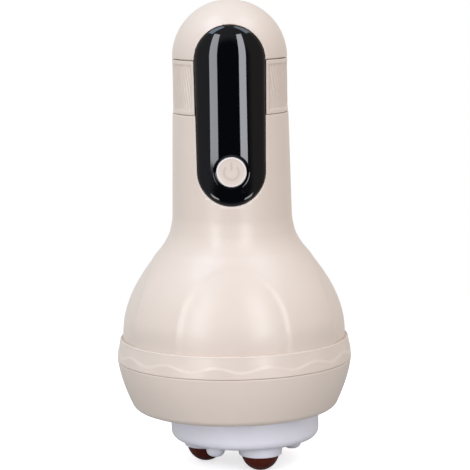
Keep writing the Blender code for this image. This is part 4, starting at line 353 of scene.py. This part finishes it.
# Drawn steel can of the motor
CASING = surface("motor_can_steel", "B8B9BB", 0.33, 0.40, 0.006, Metallic=1.0)
# Shrink wrap of the cells
WRAP = surface("cell_shrink_wrap", "1F4E8C", 0.30, 2.0, 0.020)
# Silicone insulation
SLEEVE = surface("red_silicone", "9A1D1B", 0.45, 0.40, 0.006)


def board_material():
    """Green solder mask over copper, with fine tracks 1 to 2 mm apart."""
    material, tree, shader = new_material("solder_mask", Roughness=0.32)
    point = add(tree, "TexCoord").outputs["Object"]
    tracks = add(tree, "TexBrick", {"Vector": point, "Scale": 220.0, "Mortar Size": 0.03,
                                    "Color1": colour("14503A"), "Color2": colour("17573F"),
                                    "Mortar": colour("2C7A55")})
    tree.links.new(tracks.outputs["Color"], shader.inputs["Base Color"])
    return material


BOARD = board_material()


# Housing

def bell_radius(height):
    """Radius of neck and bell without the recesses."""
    if height >= NECK_FOOT_Z:
        share = (height - NECK_FOOT_Z) / (NECK_TOP_Z - NECK_FOOT_Z)
        return NECK_FOOT_R + (NECK_TOP_R - NECK_FOOT_R) * share
    down = (NECK_FOOT_Z - height) / (NECK_FOOT_Z - LIP_Z)
    return NECK_FOOT_R + (BELL_FOOT_R - NECK_FOOT_R) * curve_at(BELL_POINTS, down, True)


def quarter_turn(turn):
    """How far a turn is from the nearest of the four sides that carry an arch."""
    return abs((turn + math.pi / 4) % (math.pi / 2) - math.pi / 4)


def arch_depth(turn, height, radius):
    """How deep the soft arch recess lies at a point of the bell."""
    rise = max((height - ARCH_FOOT) / (ARCH_TOP - ARCH_FOOT), 0.0)
    if rise > ARCH_END:
        return 0.0
    off = quarter_turn(turn)
    inside = 1 - (off / ARCH_HALF) ** 2 - rise ** 4
    steep = math.hypot(2 * off / (ARCH_HALF ** 2 * radius), 4 * rise ** 3 / (ARCH_TOP - ARCH_FOOT))
    least_steep = 0.01
    side = inside / (steep + least_steep)
    soft = 1 - ARCH_FADE * smoothstep(ARCH_FADE_START, 1.0, rise)
    return ARCH_DEPTH * soft * smoothstep(ARCH_OUTSIDE, ARCH_INSIDE, side)


def bell_row(height):
    """A ring of the bell: its four sides, which carry the arches, are a little flatter than round."""
    rise = (height - ARCH_FOOT) / (ARCH_TOP - ARCH_FOOT)
    swell = SWELL * smoothstep(*SWELL_FOOT, rise) * (1 - smoothstep(*SWELL_TOP, rise))
    radius = bell_radius(height)

    def at(turn):
        side = min(quarter_turn(turn) / ARCH_HALF, 1.0) ** 2
        return radius + swell * side - arch_depth(turn, height, radius), height
    return at


def wave_at(turn):
    """Level of the wave's middle."""
    return WAVE_Z + WAVE_HEIGHT * math.cos(WAVES * (turn - WAVE_TURN))


def above_wave_row(share):
    """A ring between the lip and the wave's step."""
    start = LIP_R, LIP_Z - LIP_DROP
    return lambda turn: between(start, (STEP_TOP_R, wave_at(turn) + STEP_HALF), share)


def below_wave_row(share):
    """A ring between the wave's step and the seam."""
    end = BAND_R, SEAM_Z + BAND_FOOT_RISE
    return lambda turn: between((STEP_FOOT_R, wave_at(turn) - STEP_HALF), end, share)


def step_row(share):
    """A ring on the soft step of the wave."""
    radius = STEP_TOP_R + (STEP_FOOT_R - STEP_TOP_R) * smoothstep(0, 1, share)
    return lambda turn: (radius, wave_at(turn) + STEP_HALF * (1 - 2 * share))


def housing_rows():
    """Rows of the housing, from the sleeve's dome down its outside and up its inside."""
    rows = arc((0.0, CAP_Z), SLEEVE_R, 45, 0, 3) + [(SLEEVE_R, NECK_TOP_Z)]
    rows += arc((NECK_TOP_R - EDGE_R, NECK_TOP_Z - EDGE_R), EDGE_R, 90, 0, 4)
    neck = [NECK_TOP_Z - NECK_FIRST_ROW - step * NECK_ROW_STEP for step in range(NECK_ROWS)]
    rows += [(bell_radius(height), height) for height in neck]
    bell = [NECK_FOOT_Z - (NECK_FOOT_Z - LIP_Z) * step / BELL_ROWS for step in range(BELL_ROWS + 1)]
    rows += [bell_row(height) for height in bell]
    rows += [(BELL_FOOT_R + 0.04, LIP_Z + 0.26), (BELL_FOOT_R + 0.13, LIP_Z + 0.48)]
    rows += arc((LIP_R - LIP_ROUND, LIP_Z - 0.06), LIP_ROUND, 95, 0, 10)
    rows += [above_wave_row(step / 8) for step in range(9)]
    rows += [step_row(step / 10) for step in range(1, 11)]
    rows += [below_wave_row(step / 8) for step in range(1, 9)]
    rows += arc((BAND_R - SEAM_EDGE_R, SEAM_Z + SEAM_HALF + SEAM_EDGE_R), SEAM_EDGE_R, -15, -90, 4)
    rows += [(TONGUE_OUT_R + GAP, SEAM_Z + SEAM_HALF), (TONGUE_OUT_R + GAP, TONGUE_TOP_Z + GAP),
             (TONGUE_IN_R + GAP, TONGUE_TOP_Z + GAP), (58.0, 64.0)]
    rows += [(bell_radius(height) - BELL_WALL, height - BELL_WALL_DROP) for height in reversed(bell[6::8])]
    rows += [(STOP_R, STOP_Z), (NECK_BORE_R, STOP_Z), (NECK_BORE_R, NECK_TOP_Z - 13.0)]
    rows += [(SLEEVE_BORE_R, NECK_TOP_Z - 9.0), (SLEEVE_BORE_R, CAP_Z), (17.8, 233.5)]
    return rows


def panel_bed():
    """What the panel and its gap take from the housing, down to just outside the sleeve."""
    bed = place("bed", panel_prism(GAP), None)
    core_r, core_foot, core_top = SLEEVE_R + 0.05, 20.0, 260.0
    core = [(0, core_foot), (core_r, core_foot), (core_r, core_top), (0, core_top)]
    cut(bed, rings(core, 96, closed=False))
    bm = bmesh.new()
    bm.from_mesh(bed.data)
    bmesh.ops.scale(bm, verts=bm.verts, vec=(1 / MM, 1 / MM, 1 / MM))
    bpy.data.objects.remove(bed)
    return bm


def button_bore():
    """The button's hole in the sleeve, wider behind for its flange."""
    rows = [(0, 0.0), (BUTTON_BORE_R, 0.0), (BUTTON_BORE_R, BORE_STEP), (FLANGE_BORE_R, BORE_STEP)]
    rows += [(FLANGE_BORE_R, BORE_DEPTH), (0, BORE_DEPTH)]
    return lay_back(rings(rows, 96, closed=False), (0.0, BORE_START_Y, PANEL_FOOT[0]))


def socket_slot():
    """The slot in the back of the neck through which the charging socket shows."""
    slot = bmesh.new()
    ends = arc((SLOT_HALF, -SLOT_Z), SLOT_R, -90, 90, 16) + arc((-SLOT_HALF, -SLOT_Z), SLOT_R, 90, 270, 16)
    extrude(slot, [(x, y, 0.0) for x, y in ends], (0, 0, SLOT_LENGTH))
    return lay_back(slot, (0.0, SLOT_START_Y, 0.0))


def make_housing():
    """Bell, neck and sleeve with the wavy band, the arch recesses and the openings."""
    obj = place("housing_shell", rings(housing_rows()), CREAM)
    cut(obj, panel_bed())
    cut(obj, socket_slot())
    cut(obj, button_bore())
    cut(obj, block(WINDOW_LOW, WINDOW_HIGH))
    return obj


def make_cap():
    """Half dome with a softly broken lower edge."""
    rows = [(0, CAP_Z + HANDLE_R)] + arc((0.0, CAP_Z), HANDLE_R, 88, 2, 43)
    rows += arc((HANDLE_R - EDGE_R, CAP_Z + EDGE_R), EDGE_R, 0, -90, 4)
    rows += arc((0.0, CAP_Z), RING_BORE_R, 0, 84, 14) + [(0, CAP_Z + RING_BORE_R)]
    obj = place("cap_dome", rings(rows, 192, closed=False), CREAM)
    cut(obj, panel_prism(GAP))
    return obj


def make_ring():
    """Ring with fine slanted ribs inside a plain frame."""
    foot, top = NECK_TOP_Z + GAP, CAP_Z - RING_TOP_GAP
    low, high = foot + RING_BORDER, top - RING_BORDER

    def past_border(inward):
        """0 up to the border's edge and 1 where the ribs have their full depth."""
        return smoothstep(0.0, BORDER_SLOPE, inward)

    def rib_row(height):
        def at(turn):
            inside = past_border(height - low) * past_border(high - height)
            if math.cos(turn) > 0:
                inside *= past_border(abs(math.sin(turn) * HANDLE_R) - RING_SIDE)
            lean = (height - low) * math.tan(RIB_LEAN) / HANDLE_R
            rib = 0.5 + 0.5 * math.cos((turn + lean) * RIBS)
            return HANDLE_R - inside * (RIB_SINK + RIB_DEPTH * (1 - smoothstep(*RIB_FLANK, rib))), height
        return at

    fine_rises, slope_rise, tall_rows = (0.0, 0.12, 0.24), 0.36, 18
    start, end = low + slope_rise, high - slope_rise
    middle = [low + rise for rise in fine_rises]
    middle += [start + (end - start) * step / tall_rows for step in range(tall_rows + 1)]
    middle += [high - rise for rise in reversed(fine_rises)]
    rows = arc((HANDLE_R - RING_EDGE_R, foot + RING_EDGE_R), RING_EDGE_R, -90, 0, 3)
    rows += [rib_row(height) for height in middle]
    rows += arc((HANDLE_R - RING_EDGE_R, top - RING_EDGE_R), RING_EDGE_R, 0, 90, 3)
    rows += [(RING_BORE_R, top), (RING_BORE_R, foot)]
    obj = place("ring_ribbed", rings(rows, RIBS * RIB_STEPS), CREAM)
    cut(obj, panel_prism(2 * GAP))
    return obj


def make_base():
    """Lower shell: a smooth bowl with a rounded corner, the head's opening and four screw wells."""
    corner = arc(CORNER_AT, CORNER_R, -24, -84, 14)
    (corner_r, corner_z), start_z = corner[0], SEAM_Z - LOWER_START_DROP
    rows = arc((BAND_R - SEAM_EDGE_R, SEAM_Z - SEAM_HALF - SEAM_EDGE_R), SEAM_EDGE_R, 90, 15, 4)
    for step in range(1, LOWER_ROWS):
        down = step / LOWER_ROWS
        inward = curve_at(LOWER_POINTS, down, False)
        rows.append((BAND_R - inward * (BAND_R - corner_r), start_z - down * (start_z - corner_z)))
    rows += corner + [(30.0, BASE_Z)]
    rows += arc((OPENING_R + OPENING_EDGE_R, BASE_Z + OPENING_EDGE_R), OPENING_EDGE_R, -90, -180, 4)
    rows += [(OPENING_R, BASE_Z + BASE_WALL), (48.0, BASE_Z + BASE_WALL), (52.0, 36.0), (56.0, 46.0)]
    rows += [(TONGUE_IN_R, 54.0), (TONGUE_IN_R, TONGUE_TOP_Z), (TONGUE_OUT_R, TONGUE_TOP_Z)]
    rows += [(TONGUE_OUT_R, SEAM_Z - SEAM_HALF)]
    obj = place("base_shell", rings(rows), CREAM)
    well = [(0, 28.0), (WELL_MOUTH_R, 28.0), (WELL_MOUTH_R, 29.3)]
    well += [(WELL_R, 30.1), (WELL_R, 40.0), (0, 40.0)]
    for index in range(WELLS):
        turn = math.tau * (index + 0.5) / WELLS
        cut(obj, rings(well, 48, (SCREW_RING * math.cos(turn), SCREW_RING * math.sin(turn)), False))
    return obj


# Panel and button

def panel_loop(grow, arc_steps, side_steps):
    """The panel's outline in front view as (x, z) points, grown by a margin."""
    (top_z, top_r), (foot_z, foot_r) = PANEL_TOP, PANEL_FOOT
    lean = math.degrees(math.asin((foot_r - top_r) / (top_z - foot_z)))
    lower = arc((0.0, foot_z), foot_r + grow, 180 - lean, 360 + lean, arc_steps)
    upper = arc((0.0, top_z), top_r + grow, lean, 180 - lean, arc_steps)
    shares = [step / side_steps for step in range(1, side_steps)]
    right = [between(lower[-1], upper[0], share) for share in shares]
    left = [between(upper[-1], lower[0], share) for share in shares]
    return lower + right + upper + left


def panel_prism(grow):
    """A solid with the panel's outline, from the axis to past the front of the handle."""
    bm = bmesh.new()
    extrude(bm, [(x, 0.0, z) for x, z in panel_loop(grow, 48, 1)], (0.0, -PRISM_DEPTH, 0.0))
    return bm


def panel_radius(height):
    """Radius of the panel's face: straight on the ring, slowly wider down the neck."""
    drop = max(CAP_Z - height, 0.0)
    if drop < PANEL_BEND:
        return HANDLE_R - PANEL_SINK + PANEL_SLOPE * drop * drop / (2 * PANEL_BEND)
    return HANDLE_R - PANEL_SINK + PANEL_SLOPE * (drop - PANEL_BEND / 2)


def panel_inset(x, z):
    """How far a point of the front view lies inside the panel's outline."""
    (top_z, top_r), (foot_z, foot_r) = PANEL_TOP, PANEL_FOOT
    lean = (foot_r - top_r) / (top_z - foot_z)
    upright = math.sqrt(1 - lean * lean)
    across, up = abs(x), z - foot_z
    along = up * upright - across * lean
    if along < 0:
        return foot_r - math.hypot(across, up)
    if along > (top_z - foot_z) * upright:
        return top_r - math.hypot(across, z - top_z)
    return foot_r - across * upright - up * lean


def panel_y(x, z):
    """Front of the panel: the handle's curve with a rounded rim and a shallow dish round the button."""
    inset = max(panel_inset(x, z), 0.0)
    rim, roll = max(1 - inset / RIM_WIDTH, 0.0), max(1 - inset / ROLL_WIDTH, 0.0)
    end = max(1 - inset / END_WIDTH, 0.0) * smoothstep(END_START, END_FULL, PANEL_FOOT[0] - z)
    drop = RIM_DROP * (1 - math.sqrt(1 - rim ** 2)) + ROLL_DROP * roll ** 2 + END_DROP * end ** 2
    dish = max(1 - (math.hypot(x, z - PANEL_FOOT[0]) - PANEL_HOLE_R) / DISH_WIDTH, 0.0)
    front = math.sqrt((panel_radius(z) - drop) ** 2 - x * x - max(z - CAP_Z, 0.0) ** 2)
    return DISH_DEPTH * min(dish, 1.0) ** 2 - front


def panel_normal(x, z):
    """Normal of the panel's front, from the heights just beside the point."""
    step = 0.01
    across = (panel_y(x + step, z) - panel_y(x - step, z)) / (2 * step)
    up = (panel_y(x, z + step) - panel_y(x, z - step)) / (2 * step)
    return Vector((across, -1.0, up)).normalized()


def panel_rows():
    """The panel's points in rows of the front view, from its outline in to the button's hole."""
    insets = (0.0, 0.03, 0.08, 0.16, 0.26, 0.38, 0.5, 0.7, 0.95, 1.2, 1.5, 1.8, 2.2, 2.7)
    radii = (10.6, 10.05, 9.8, 9.5, 9.2, 9.0, 8.7, 8.4, 8.2, PANEL_HOLE_R)
    rows = [panel_loop(-inset, 72, 64) for inset in insets]
    outer, foot_z = rows[-1], PANEL_FOOT[0]
    turns = [math.atan2(z - foot_z, x) for x, z in outer]
    rounds = []
    for radius in radii:
        rounds.append([(radius * math.cos(turn), foot_z + radius * math.sin(turn)) for turn in turns])
    steps = 50
    for step in range(1, steps):
        rows.append([between(a, b, step / steps) for a, b in zip(outer, rounds[0])])
    return rows + rounds


def bore_y(x, z):
    """Front of the bore of ring and cap, which the panel's back follows."""
    return -math.sqrt(RING_BORE_R ** 2 - x * x - max(z - CAP_Z, 0.0) ** 2)


def make_panel():
    """Long gloss cover that follows the handle and the dome."""
    flat = panel_rows()
    outline, hole = flat[0], flat[-1]
    levels = [[(x, panel_y(x, z), z) for x, z in row] for row in flat]
    last_front = len(outline) * len(levels)
    back_steps = 24
    for step in range(back_steps + 1):
        row = [between(a, b, step / back_steps) for a, b in zip(hole, outline)]
        levels.append([(x, bore_y(x, z), z) for x, z in row])
    bm = bmesh.new()
    loops = [[bm.verts.new(point) for point in level] for level in levels]
    for loop, after in zip(loops, loops[1:] + loops[:1]):
        for column in range(len(outline)):
            beside = (column + 1) % len(outline)
            bm.faces.new((loop[column], loop[beside], after[beside], after[column]))
    bmesh.ops.recalc_face_normals(bm, faces=bm.faces)
    obj = place("gloss_panel", bm, GLOSS, 40)
    give_normals(obj.data, last_front)
    return obj


def give_normals(mesh, last_front):
    """Sets worked-out normals on the panel's front, whose points come first; zero keeps the mesh's own."""
    normals = []
    for face in mesh.polygons:
        on_front = all(vertex < last_front for vertex in face.vertices)
        for vertex in face.vertices:
            point = mesh.vertices[vertex].co / MM
            normals.append(tuple(panel_normal(point.x, point.z)) if on_front else (0.0, 0.0, 0.0))
    mesh.normals_split_custom_set(normals)


def make_button():
    """Button cap with a soft edge in a paler painted highlight, a faint dish and a flange."""
    rows = [(0, 0.30), (2.0, 0.29), (4.0, 0.25), (5.6, 0.20), (6.35, 0.17), (6.75, 0.05), (7.0, 0.0)]
    rows += arc((BUTTON_R - BUTTON_EDGE_R, BUTTON_EDGE_R), BUTTON_EDGE_R, -90, 0, 6)
    rows += [(BUTTON_R, 6.0), (FLANGE_R, 6.0), (FLANGE_R, 7.0), (6.35, 7.0), (6.35, 1.8), (2.0, 1.8)]
    rows += [(2.0, 4.4), (0, 4.4)]
    face_y = -HANDLE_R - BUTTON_PROUD
    obj = place("button_cap", lay_back(rings(rows, 96, closed=False), (0.0, face_y, PANEL_FOOT[0])), BUTTON)
    # Faces round the edge take the paler material: a painted highlight on the rim
    obj.data.materials.append(RIM_PAINTED_HIGHLIGHT)
    for face in obj.data.polygons:
        x, y, z = face.center / MM
        if math.hypot(x, z - PANEL_FOOT[0]) > BUTTON_HIGHLIGHT_R and y < face_y + BUTTON_HIGHLIGHT_DEPTH:
            face.material_index = 1
    return obj


def make_mark():
    """Raised power mark on the button: an open ring and a bar."""
    bm = bmesh.new()
    ring = arc((0, 0), MARK_OUT_R, 135, 405, 60) + arc((0, 0), MARK_IN_R, 405, 135, 60)
    half, foot, top = MARK_BAR_HALF, MARK_BAR_FOOT, MARK_BAR_TOP
    bar = [(-half, foot), (half, foot), (half, top), (-half, top)]
    for outline in (ring, bar):
        extrude(bm, [(x, MARK_ROOT_Y, z + PANEL_FOOT[0]) for x, z in outline], (0.0, -MARK_RISE, 0.0))
    return place("button_mark", bm, MARK)


# Massage head

def ball_places(radius=BALL_RING, shift=0.0):
    """Points round the head's middle, in the directions of the balls or turned from them."""
    turns = [turn + shift for turn in BALL_TURNS]
    return [(HEAD_X + radius * math.cos(turn), radius * math.sin(turn)) for turn in turns]


def make_disc():
    """White disc with a rolled edge and holes for the balls and the screw cap."""
    rows = [(0, DISC_Z), (34.0, DISC_Z)]
    rows += arc((DISC_R - DISC_EDGE_R, DISC_Z + DISC_EDGE_R), DISC_EDGE_R, -90, 0, 14) + [(DISC_R, 24.0)]
    rows += arc((DISC_R - DISC_TOP_EDGE_R, DISC_TOP - DISC_TOP_EDGE_R), DISC_TOP_EDGE_R, 0, 90, 4)
    rows += [(DISC_R - DISC_WALL, DISC_TOP), (DISC_R - DISC_WALL, 18.5), (34.5, DISC_Z + DISC_FLOOR)]
    rows += [(0, DISC_Z + DISC_FLOOR)]
    obj = place("head_disc", rings(rows, 240, (HEAD_X, 0.0), False), WHITE)
    pocket = [(0, 5.0), (9.4, 5.0)] + ball_curve(POCKET_R, (6.0, 8.0, 10.0, 12.0, 13.5))
    pocket += [(POCKET_R, SEAT_ROOM_Z), (SEAT_ROOM_R, SEAT_ROOM_Z), (SEAT_ROOM_R, INSIDE_Z), (0, INSIDE_Z)]
    for at in ball_places():
        cut(obj, rings(pocket, 96, at, False))
    cap_r, plug_r, cap_top = SCREW_CAP_R + GAP, PLUG_R + GAP, SCREW_CAP_TOP + GAP
    hole = [(0, 12.0), (cap_r, 12.0), (cap_r, cap_top)]
    hole += [(plug_r, cap_top), (plug_r, INSIDE_Z), (0, INSIDE_Z)]
    cut(obj, rings(hole, 96, (HEAD_X, 0.0), False))
    return obj


def make_collars():
    """Collars that hold the balls, flaring softly into the disc."""
    rows = ball_curve(COLLAR_BORE_R, (ROOT_Z, 13.0, 11.5, 10.0, 9.2))
    rows += arc(COLLAR_EDGE_AT, COLLAR_EDGE_R, -160, -15, 8)
    rows += [(11.3, 9.6), (11.4, 10.4), (11.5, 11.3), (11.75, 12.6), (12.05, 13.3), (12.5, 13.75)]
    rows += [(13.2, 13.98), (13.2, ROOT_Z)]
    return repeated("head_collars", lambda at: rings(rows, 96, at), ball_places(), WHITE)


def make_nubs():
    """Domed nubs between the collars."""
    rows = [(0, NUB_Z)] + arc((1.6, NUB_Z + NUB_R), NUB_R, -90, -8, 14)
    rows += [(4.93, 11.6), (4.98, 12.6), (5.1, 13.4), (5.45, 13.85), (6.1, 13.99)]
    rows += [(6.1, ROOT_Z), (0, ROOT_Z)]
    places = ball_places(NUB_RING, math.pi / 3)
    return repeated("head_nubs", lambda at: rings(rows, 64, at, False), places, WHITE)


def make_screw_cap():
    """Round cover over the head's central screw."""
    edge_r, plug_top = 0.4, 17.2
    rows = [(0, DISC_Z)] + arc((SCREW_CAP_R - edge_r, DISC_Z + edge_r), edge_r, -90, 0, 5)
    rows += [(SCREW_CAP_R, SCREW_CAP_TOP), (PLUG_R, SCREW_CAP_TOP), (PLUG_R, plug_top), (0, plug_top)]
    return place("head_screw_cover", rings(rows, 96, (HEAD_X, 0.0), False), WHITE)


def make_ball(letter, at):
    """Polished ball."""
    bm = bmesh.new()
    bmesh.ops.create_icosphere(bm, subdivisions=5, radius=BALL_R)
    bmesh.ops.translate(bm, verts=bm.verts, vec=(*at, BALL_R))
    return place("resin_ball_" + letter, bm, RESIN, 60)


# Building

def dress(obj, body, slot, *nodes):
    """A new piece rides on a body and stands for CAD nodes, which it hides; its slot is not used."""
    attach(obj, body)
    if nodes:
        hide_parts(*nodes)


dress(make_housing(), "body", "shell_cream", "body_shell")
dress(make_cap(), "body", "shell_cream", "top_cap")
dress(make_ring(), "body", "shell_cream", "grip_ring")
dress(make_panel(), "body", "panel_black", "display_panel")
dress(make_base(), "body", "shell_cream", "lower_shell")
dress(make_button(), "button", "shell_cream", "power_button")
dress(make_mark(), "button", "shell_cream")
dress(make_disc(), "head", "head_white", "head_cover")
dress(make_collars(), "head", "head_white")
dress(make_nubs(), "head", "head_white")
dress(make_screw_cap(), "head", "head_white", "screw_cap")
for letter, at in zip("abc", ball_places()):
    dress(make_ball(letter, at), "ball_" + letter, "ball_resin", "massage_ball_" + letter)

# What the CAD nodes that stay are made of
FINISHES = {
    "switch_body": BLACK, "switch_plunger": BLACK, "control_board": BOARD, "display_module": BLACK,
    "charge_socket": STEEL, "charge_board": BOARD, "battery_cell_left": WRAP, "battery_cell_right": WRAP,
    "cell_strip": STEEL, "battery_holder": GREY, "chassis_plate": GREY, "output_bush": BRONZE,
    "gear_cover": GREY, "output_gear": ACETAL, "intermediate_gear": ACETAL, "gear_pin": STEEL,
    "motor_pinion": BRONZE, "motor_shaft": STEEL, "motor_can": CASING, "motor_end_cap": BLACK,
    "motor_lead_left": SLEEVE, "motor_lead_right": SLEEVE, "eccentric_shaft": STEEL, "counterweight": IRON,
    "pin_washer": STEEL, "pin_screw": STEEL, "head_plate": WHITE, "head_bearing": STEEL,
    "ball_seat_a": ACETAL, "ball_seat_b": ACETAL, "ball_seat_c": ACETAL, "head_screw_a": STEEL,
    "head_screw_b": STEEL, "head_screw_c": STEEL, "base_screw_a": STEEL, "base_screw_b": STEEL,
    "base_screw_c": STEEL, "base_screw_d": STEEL,
}
for name, material in FINISHES.items():
    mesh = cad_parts[name].data
    mesh.materials.clear()
    mesh.materials.append(material)


# Studio, in metres but for the floor's sheet

FLOOR_R = 600.0
FLOOR_SEEN, FLOOR_BOUNCE, FLOOR_GLOW = 0.93, 0.42, 0.65
FADE_START, FADE_END = 0.12, 0.55
# Name, azimuth in degrees to the right of the front, distance, low and high end, width, radiance,
# the height it aims at (None for upright) and tint
SOFT_BOXES = (
    ("key_left", -33.0, 1.35, 0.07, 1.7, 0.375, 5.6, None, "F8F8FF"),
    ("key_right", 25.4, 1.35, 0.07, 1.7, 0.33, 6.9, None, "F6F7FF"),
    ("low_left", -38, 0.50, 0.005, 0.045, 0.16, 5.0, None, "FFFFFF"),
    ("low_right", 38, 0.50, 0.005, 0.045, 0.16, 5.0, None, "FFFFFF"),
    ("top_left", -72, 0.68, 1.2, 1.9, 0.8, 3.65, 0.15, "D1E6FF"),
    ("top_right", 72, 0.68, 1.2, 1.9, 0.8, 2.74, 0.15, "DFECFF"),
)
# Light of the surroundings by the share of a direction that points back: room, sides and what the rear adds
ROOM_LIGHT, SIDE_LIGHT, REAR_LIGHT = 0.015, 0.25, 0.49
ROOM_END, SIDE_START, SIDE_END, REAR_START = -0.86, -0.68, -0.42, 0.25
# Share of a direction that points right, where the warmer tint starts and is full
WARM_START, WARM_END = -0.2, 0.9
CAMERA_AT = (0, -1.1259, 0.2822)
CAMERA_PITCH, CAMERA_ROLL = math.radians(8.10), math.radians(0.95)
LENS, SENSOR, SHIFT_X = 165.2, 36.0, 0.00532


def make_floor():
    """Pale paper on the table that fades into the white surroundings and is clear from below."""
    material, tree, shader = new_material("white_paper", Roughness=0.85, Emission_Color=colour("FFFFFF"))
    seen = add(tree, "LightPath").outputs["Is Camera Ray"]
    tone = remap(tree, seen, 0.0, 1.0, FLOOR_BOUNCE, FLOOR_SEEN)
    tree.links.new(tone, shader.inputs["Base Color"])
    glow = add(tree, "Math", {0: seen, 1: FLOOR_GLOW}, operation="MULTIPLY")
    tree.links.new(glow.outputs["Value"], shader.inputs["Emission Strength"])
    point = add(tree, "TexCoord").outputs["Object"]
    fibre = add(tree, "TexNoise", {"Vector": point, "Scale": 900.0, "Detail": 4.0}).outputs["Fac"]
    bump = add(tree, "Bump", {"Height": fibre, "Strength": 1.0, "Distance": 0.01 * MM})
    tree.links.new(bump.outputs["Normal"], shader.inputs["Normal"])
    away = add(tree, "VectorMath", {0: point}, operation="LENGTH").outputs["Value"]
    fade = remap(tree, away, FADE_START, FADE_END, 1.0, 0.0, interpolation_type="SMOOTHSTEP")
    below = add(tree, "NewGeometry").outputs["Backfacing"]
    front = add(tree, "Math", {0: 1.0, 1: below}, operation="SUBTRACT").outputs["Value"]
    alpha = add(tree, "Math", {0: fade, 1: front}, operation="MULTIPLY").outputs["Value"]
    tree.links.new(alpha, shader.inputs["Alpha"])
    sheet = bmesh.new()
    bmesh.ops.create_circle(sheet, cap_ends=True, segments=96, radius=FLOOR_R)
    place("floor", sheet, material)


def softbox(name, azimuth, distance, low, high, width, radiance, aim, tint):
    """A soft box of light, upright unless it aims at a height; SOFT_BOXES says what its values are."""
    turn = math.radians(azimuth)
    data = bpy.data.lights.new(name, "AREA")
    data.shape = "RECTANGLE"
    data.size, data.size_y = width, high - low
    data.energy = radiance * math.pi * width * (high - low)
    data.color = colour(tint)[:3]
    obj = bpy.data.objects.new(name, data)
    at = Vector((distance * math.sin(turn), -distance * math.cos(turn), (low + high) / 2))
    obj.location = at
    target = Vector((0, 0, at.z if aim is None else aim))
    obj.rotation_euler = (target - at).to_track_quat("-Z", "Y").to_euler()
    bpy.context.scene.collection.objects.link(obj)


def make_surroundings():
    """White surroundings behind and beside, warmer at the right, and a darker room in front."""
    world = bpy.data.worlds.new("studio")
    bpy.context.scene.world = world
    world.use_nodes = True
    tree = world.node_tree
    parts = add(tree, "SeparateXYZ", {"Vector": add(tree, "TexCoord").outputs["Generated"]})
    back = parts.outputs["Y"]
    sides = remap(tree, back, ROOM_END, SIDE_START, ROOM_LIGHT, SIDE_LIGHT, interpolation_type="SMOOTHSTEP")
    rear = remap(tree, back, SIDE_END, REAR_START, 0.0, REAR_LIGHT, interpolation_type="SMOOTHSTEP")
    level = add(tree, "Math", {0: sides, 1: rear}, operation="ADD")
    seen = add(tree, "LightPath").outputs["Is Camera Ray"]
    strength = add(tree, "Mix", {"Factor": seen, MIX_NUMBER_A: level.outputs["Value"], MIX_NUMBER_B: 1.0},
                   data_type="FLOAT")
    warmth = remap(tree, parts.outputs["X"], WARM_START, WARM_END, 0.0, 1.0)
    tint = add(tree, "MixRGB", {"Fac": warmth, "Color1": colour("FFFFFF"), "Color2": colour("F2E6D8")})
    clear = add(tree, "MixRGB", {"Fac": seen, "Color1": tint.outputs["Color"], "Color2": colour("FFFFFF")})
    background = tree.nodes["Background"]
    tree.links.new(clear.outputs["Color"], background.inputs["Color"])
    tree.links.new(strength.outputs[MIX_NUMBER], background.inputs["Strength"])


def make_camera():
    """Camera at the photograph's angle."""
    pitch, roll = CAMERA_PITCH, CAMERA_ROLL
    up, right = Vector((0, math.sin(pitch), math.cos(pitch))), Vector((1, 0, 0))
    forward = Vector((0, math.cos(pitch), -math.sin(pitch)))
    across = right * math.cos(roll) - up * math.sin(roll)
    upward = up * math.cos(roll) + right * math.sin(roll)
    data = bpy.data.cameras.new("camera")
    data.sensor_width = SENSOR
    data.lens = LENS
    data.shift_x = SHIFT_X
    data.clip_start = 0.01
    obj = bpy.data.objects.new("camera", data)
    turned = Matrix((across, upward, -forward)).transposed().to_4x4()
    obj.matrix_world = Matrix.Translation(CAMERA_AT) @ turned
    bpy.context.scene.collection.objects.link(obj)
    bpy.context.scene.camera = obj


make_floor()
make_surroundings()
for box in SOFT_BOXES:
    softbox(*box)
make_camera()
bpy.context.scene.view_settings.view_transform = "Standard"
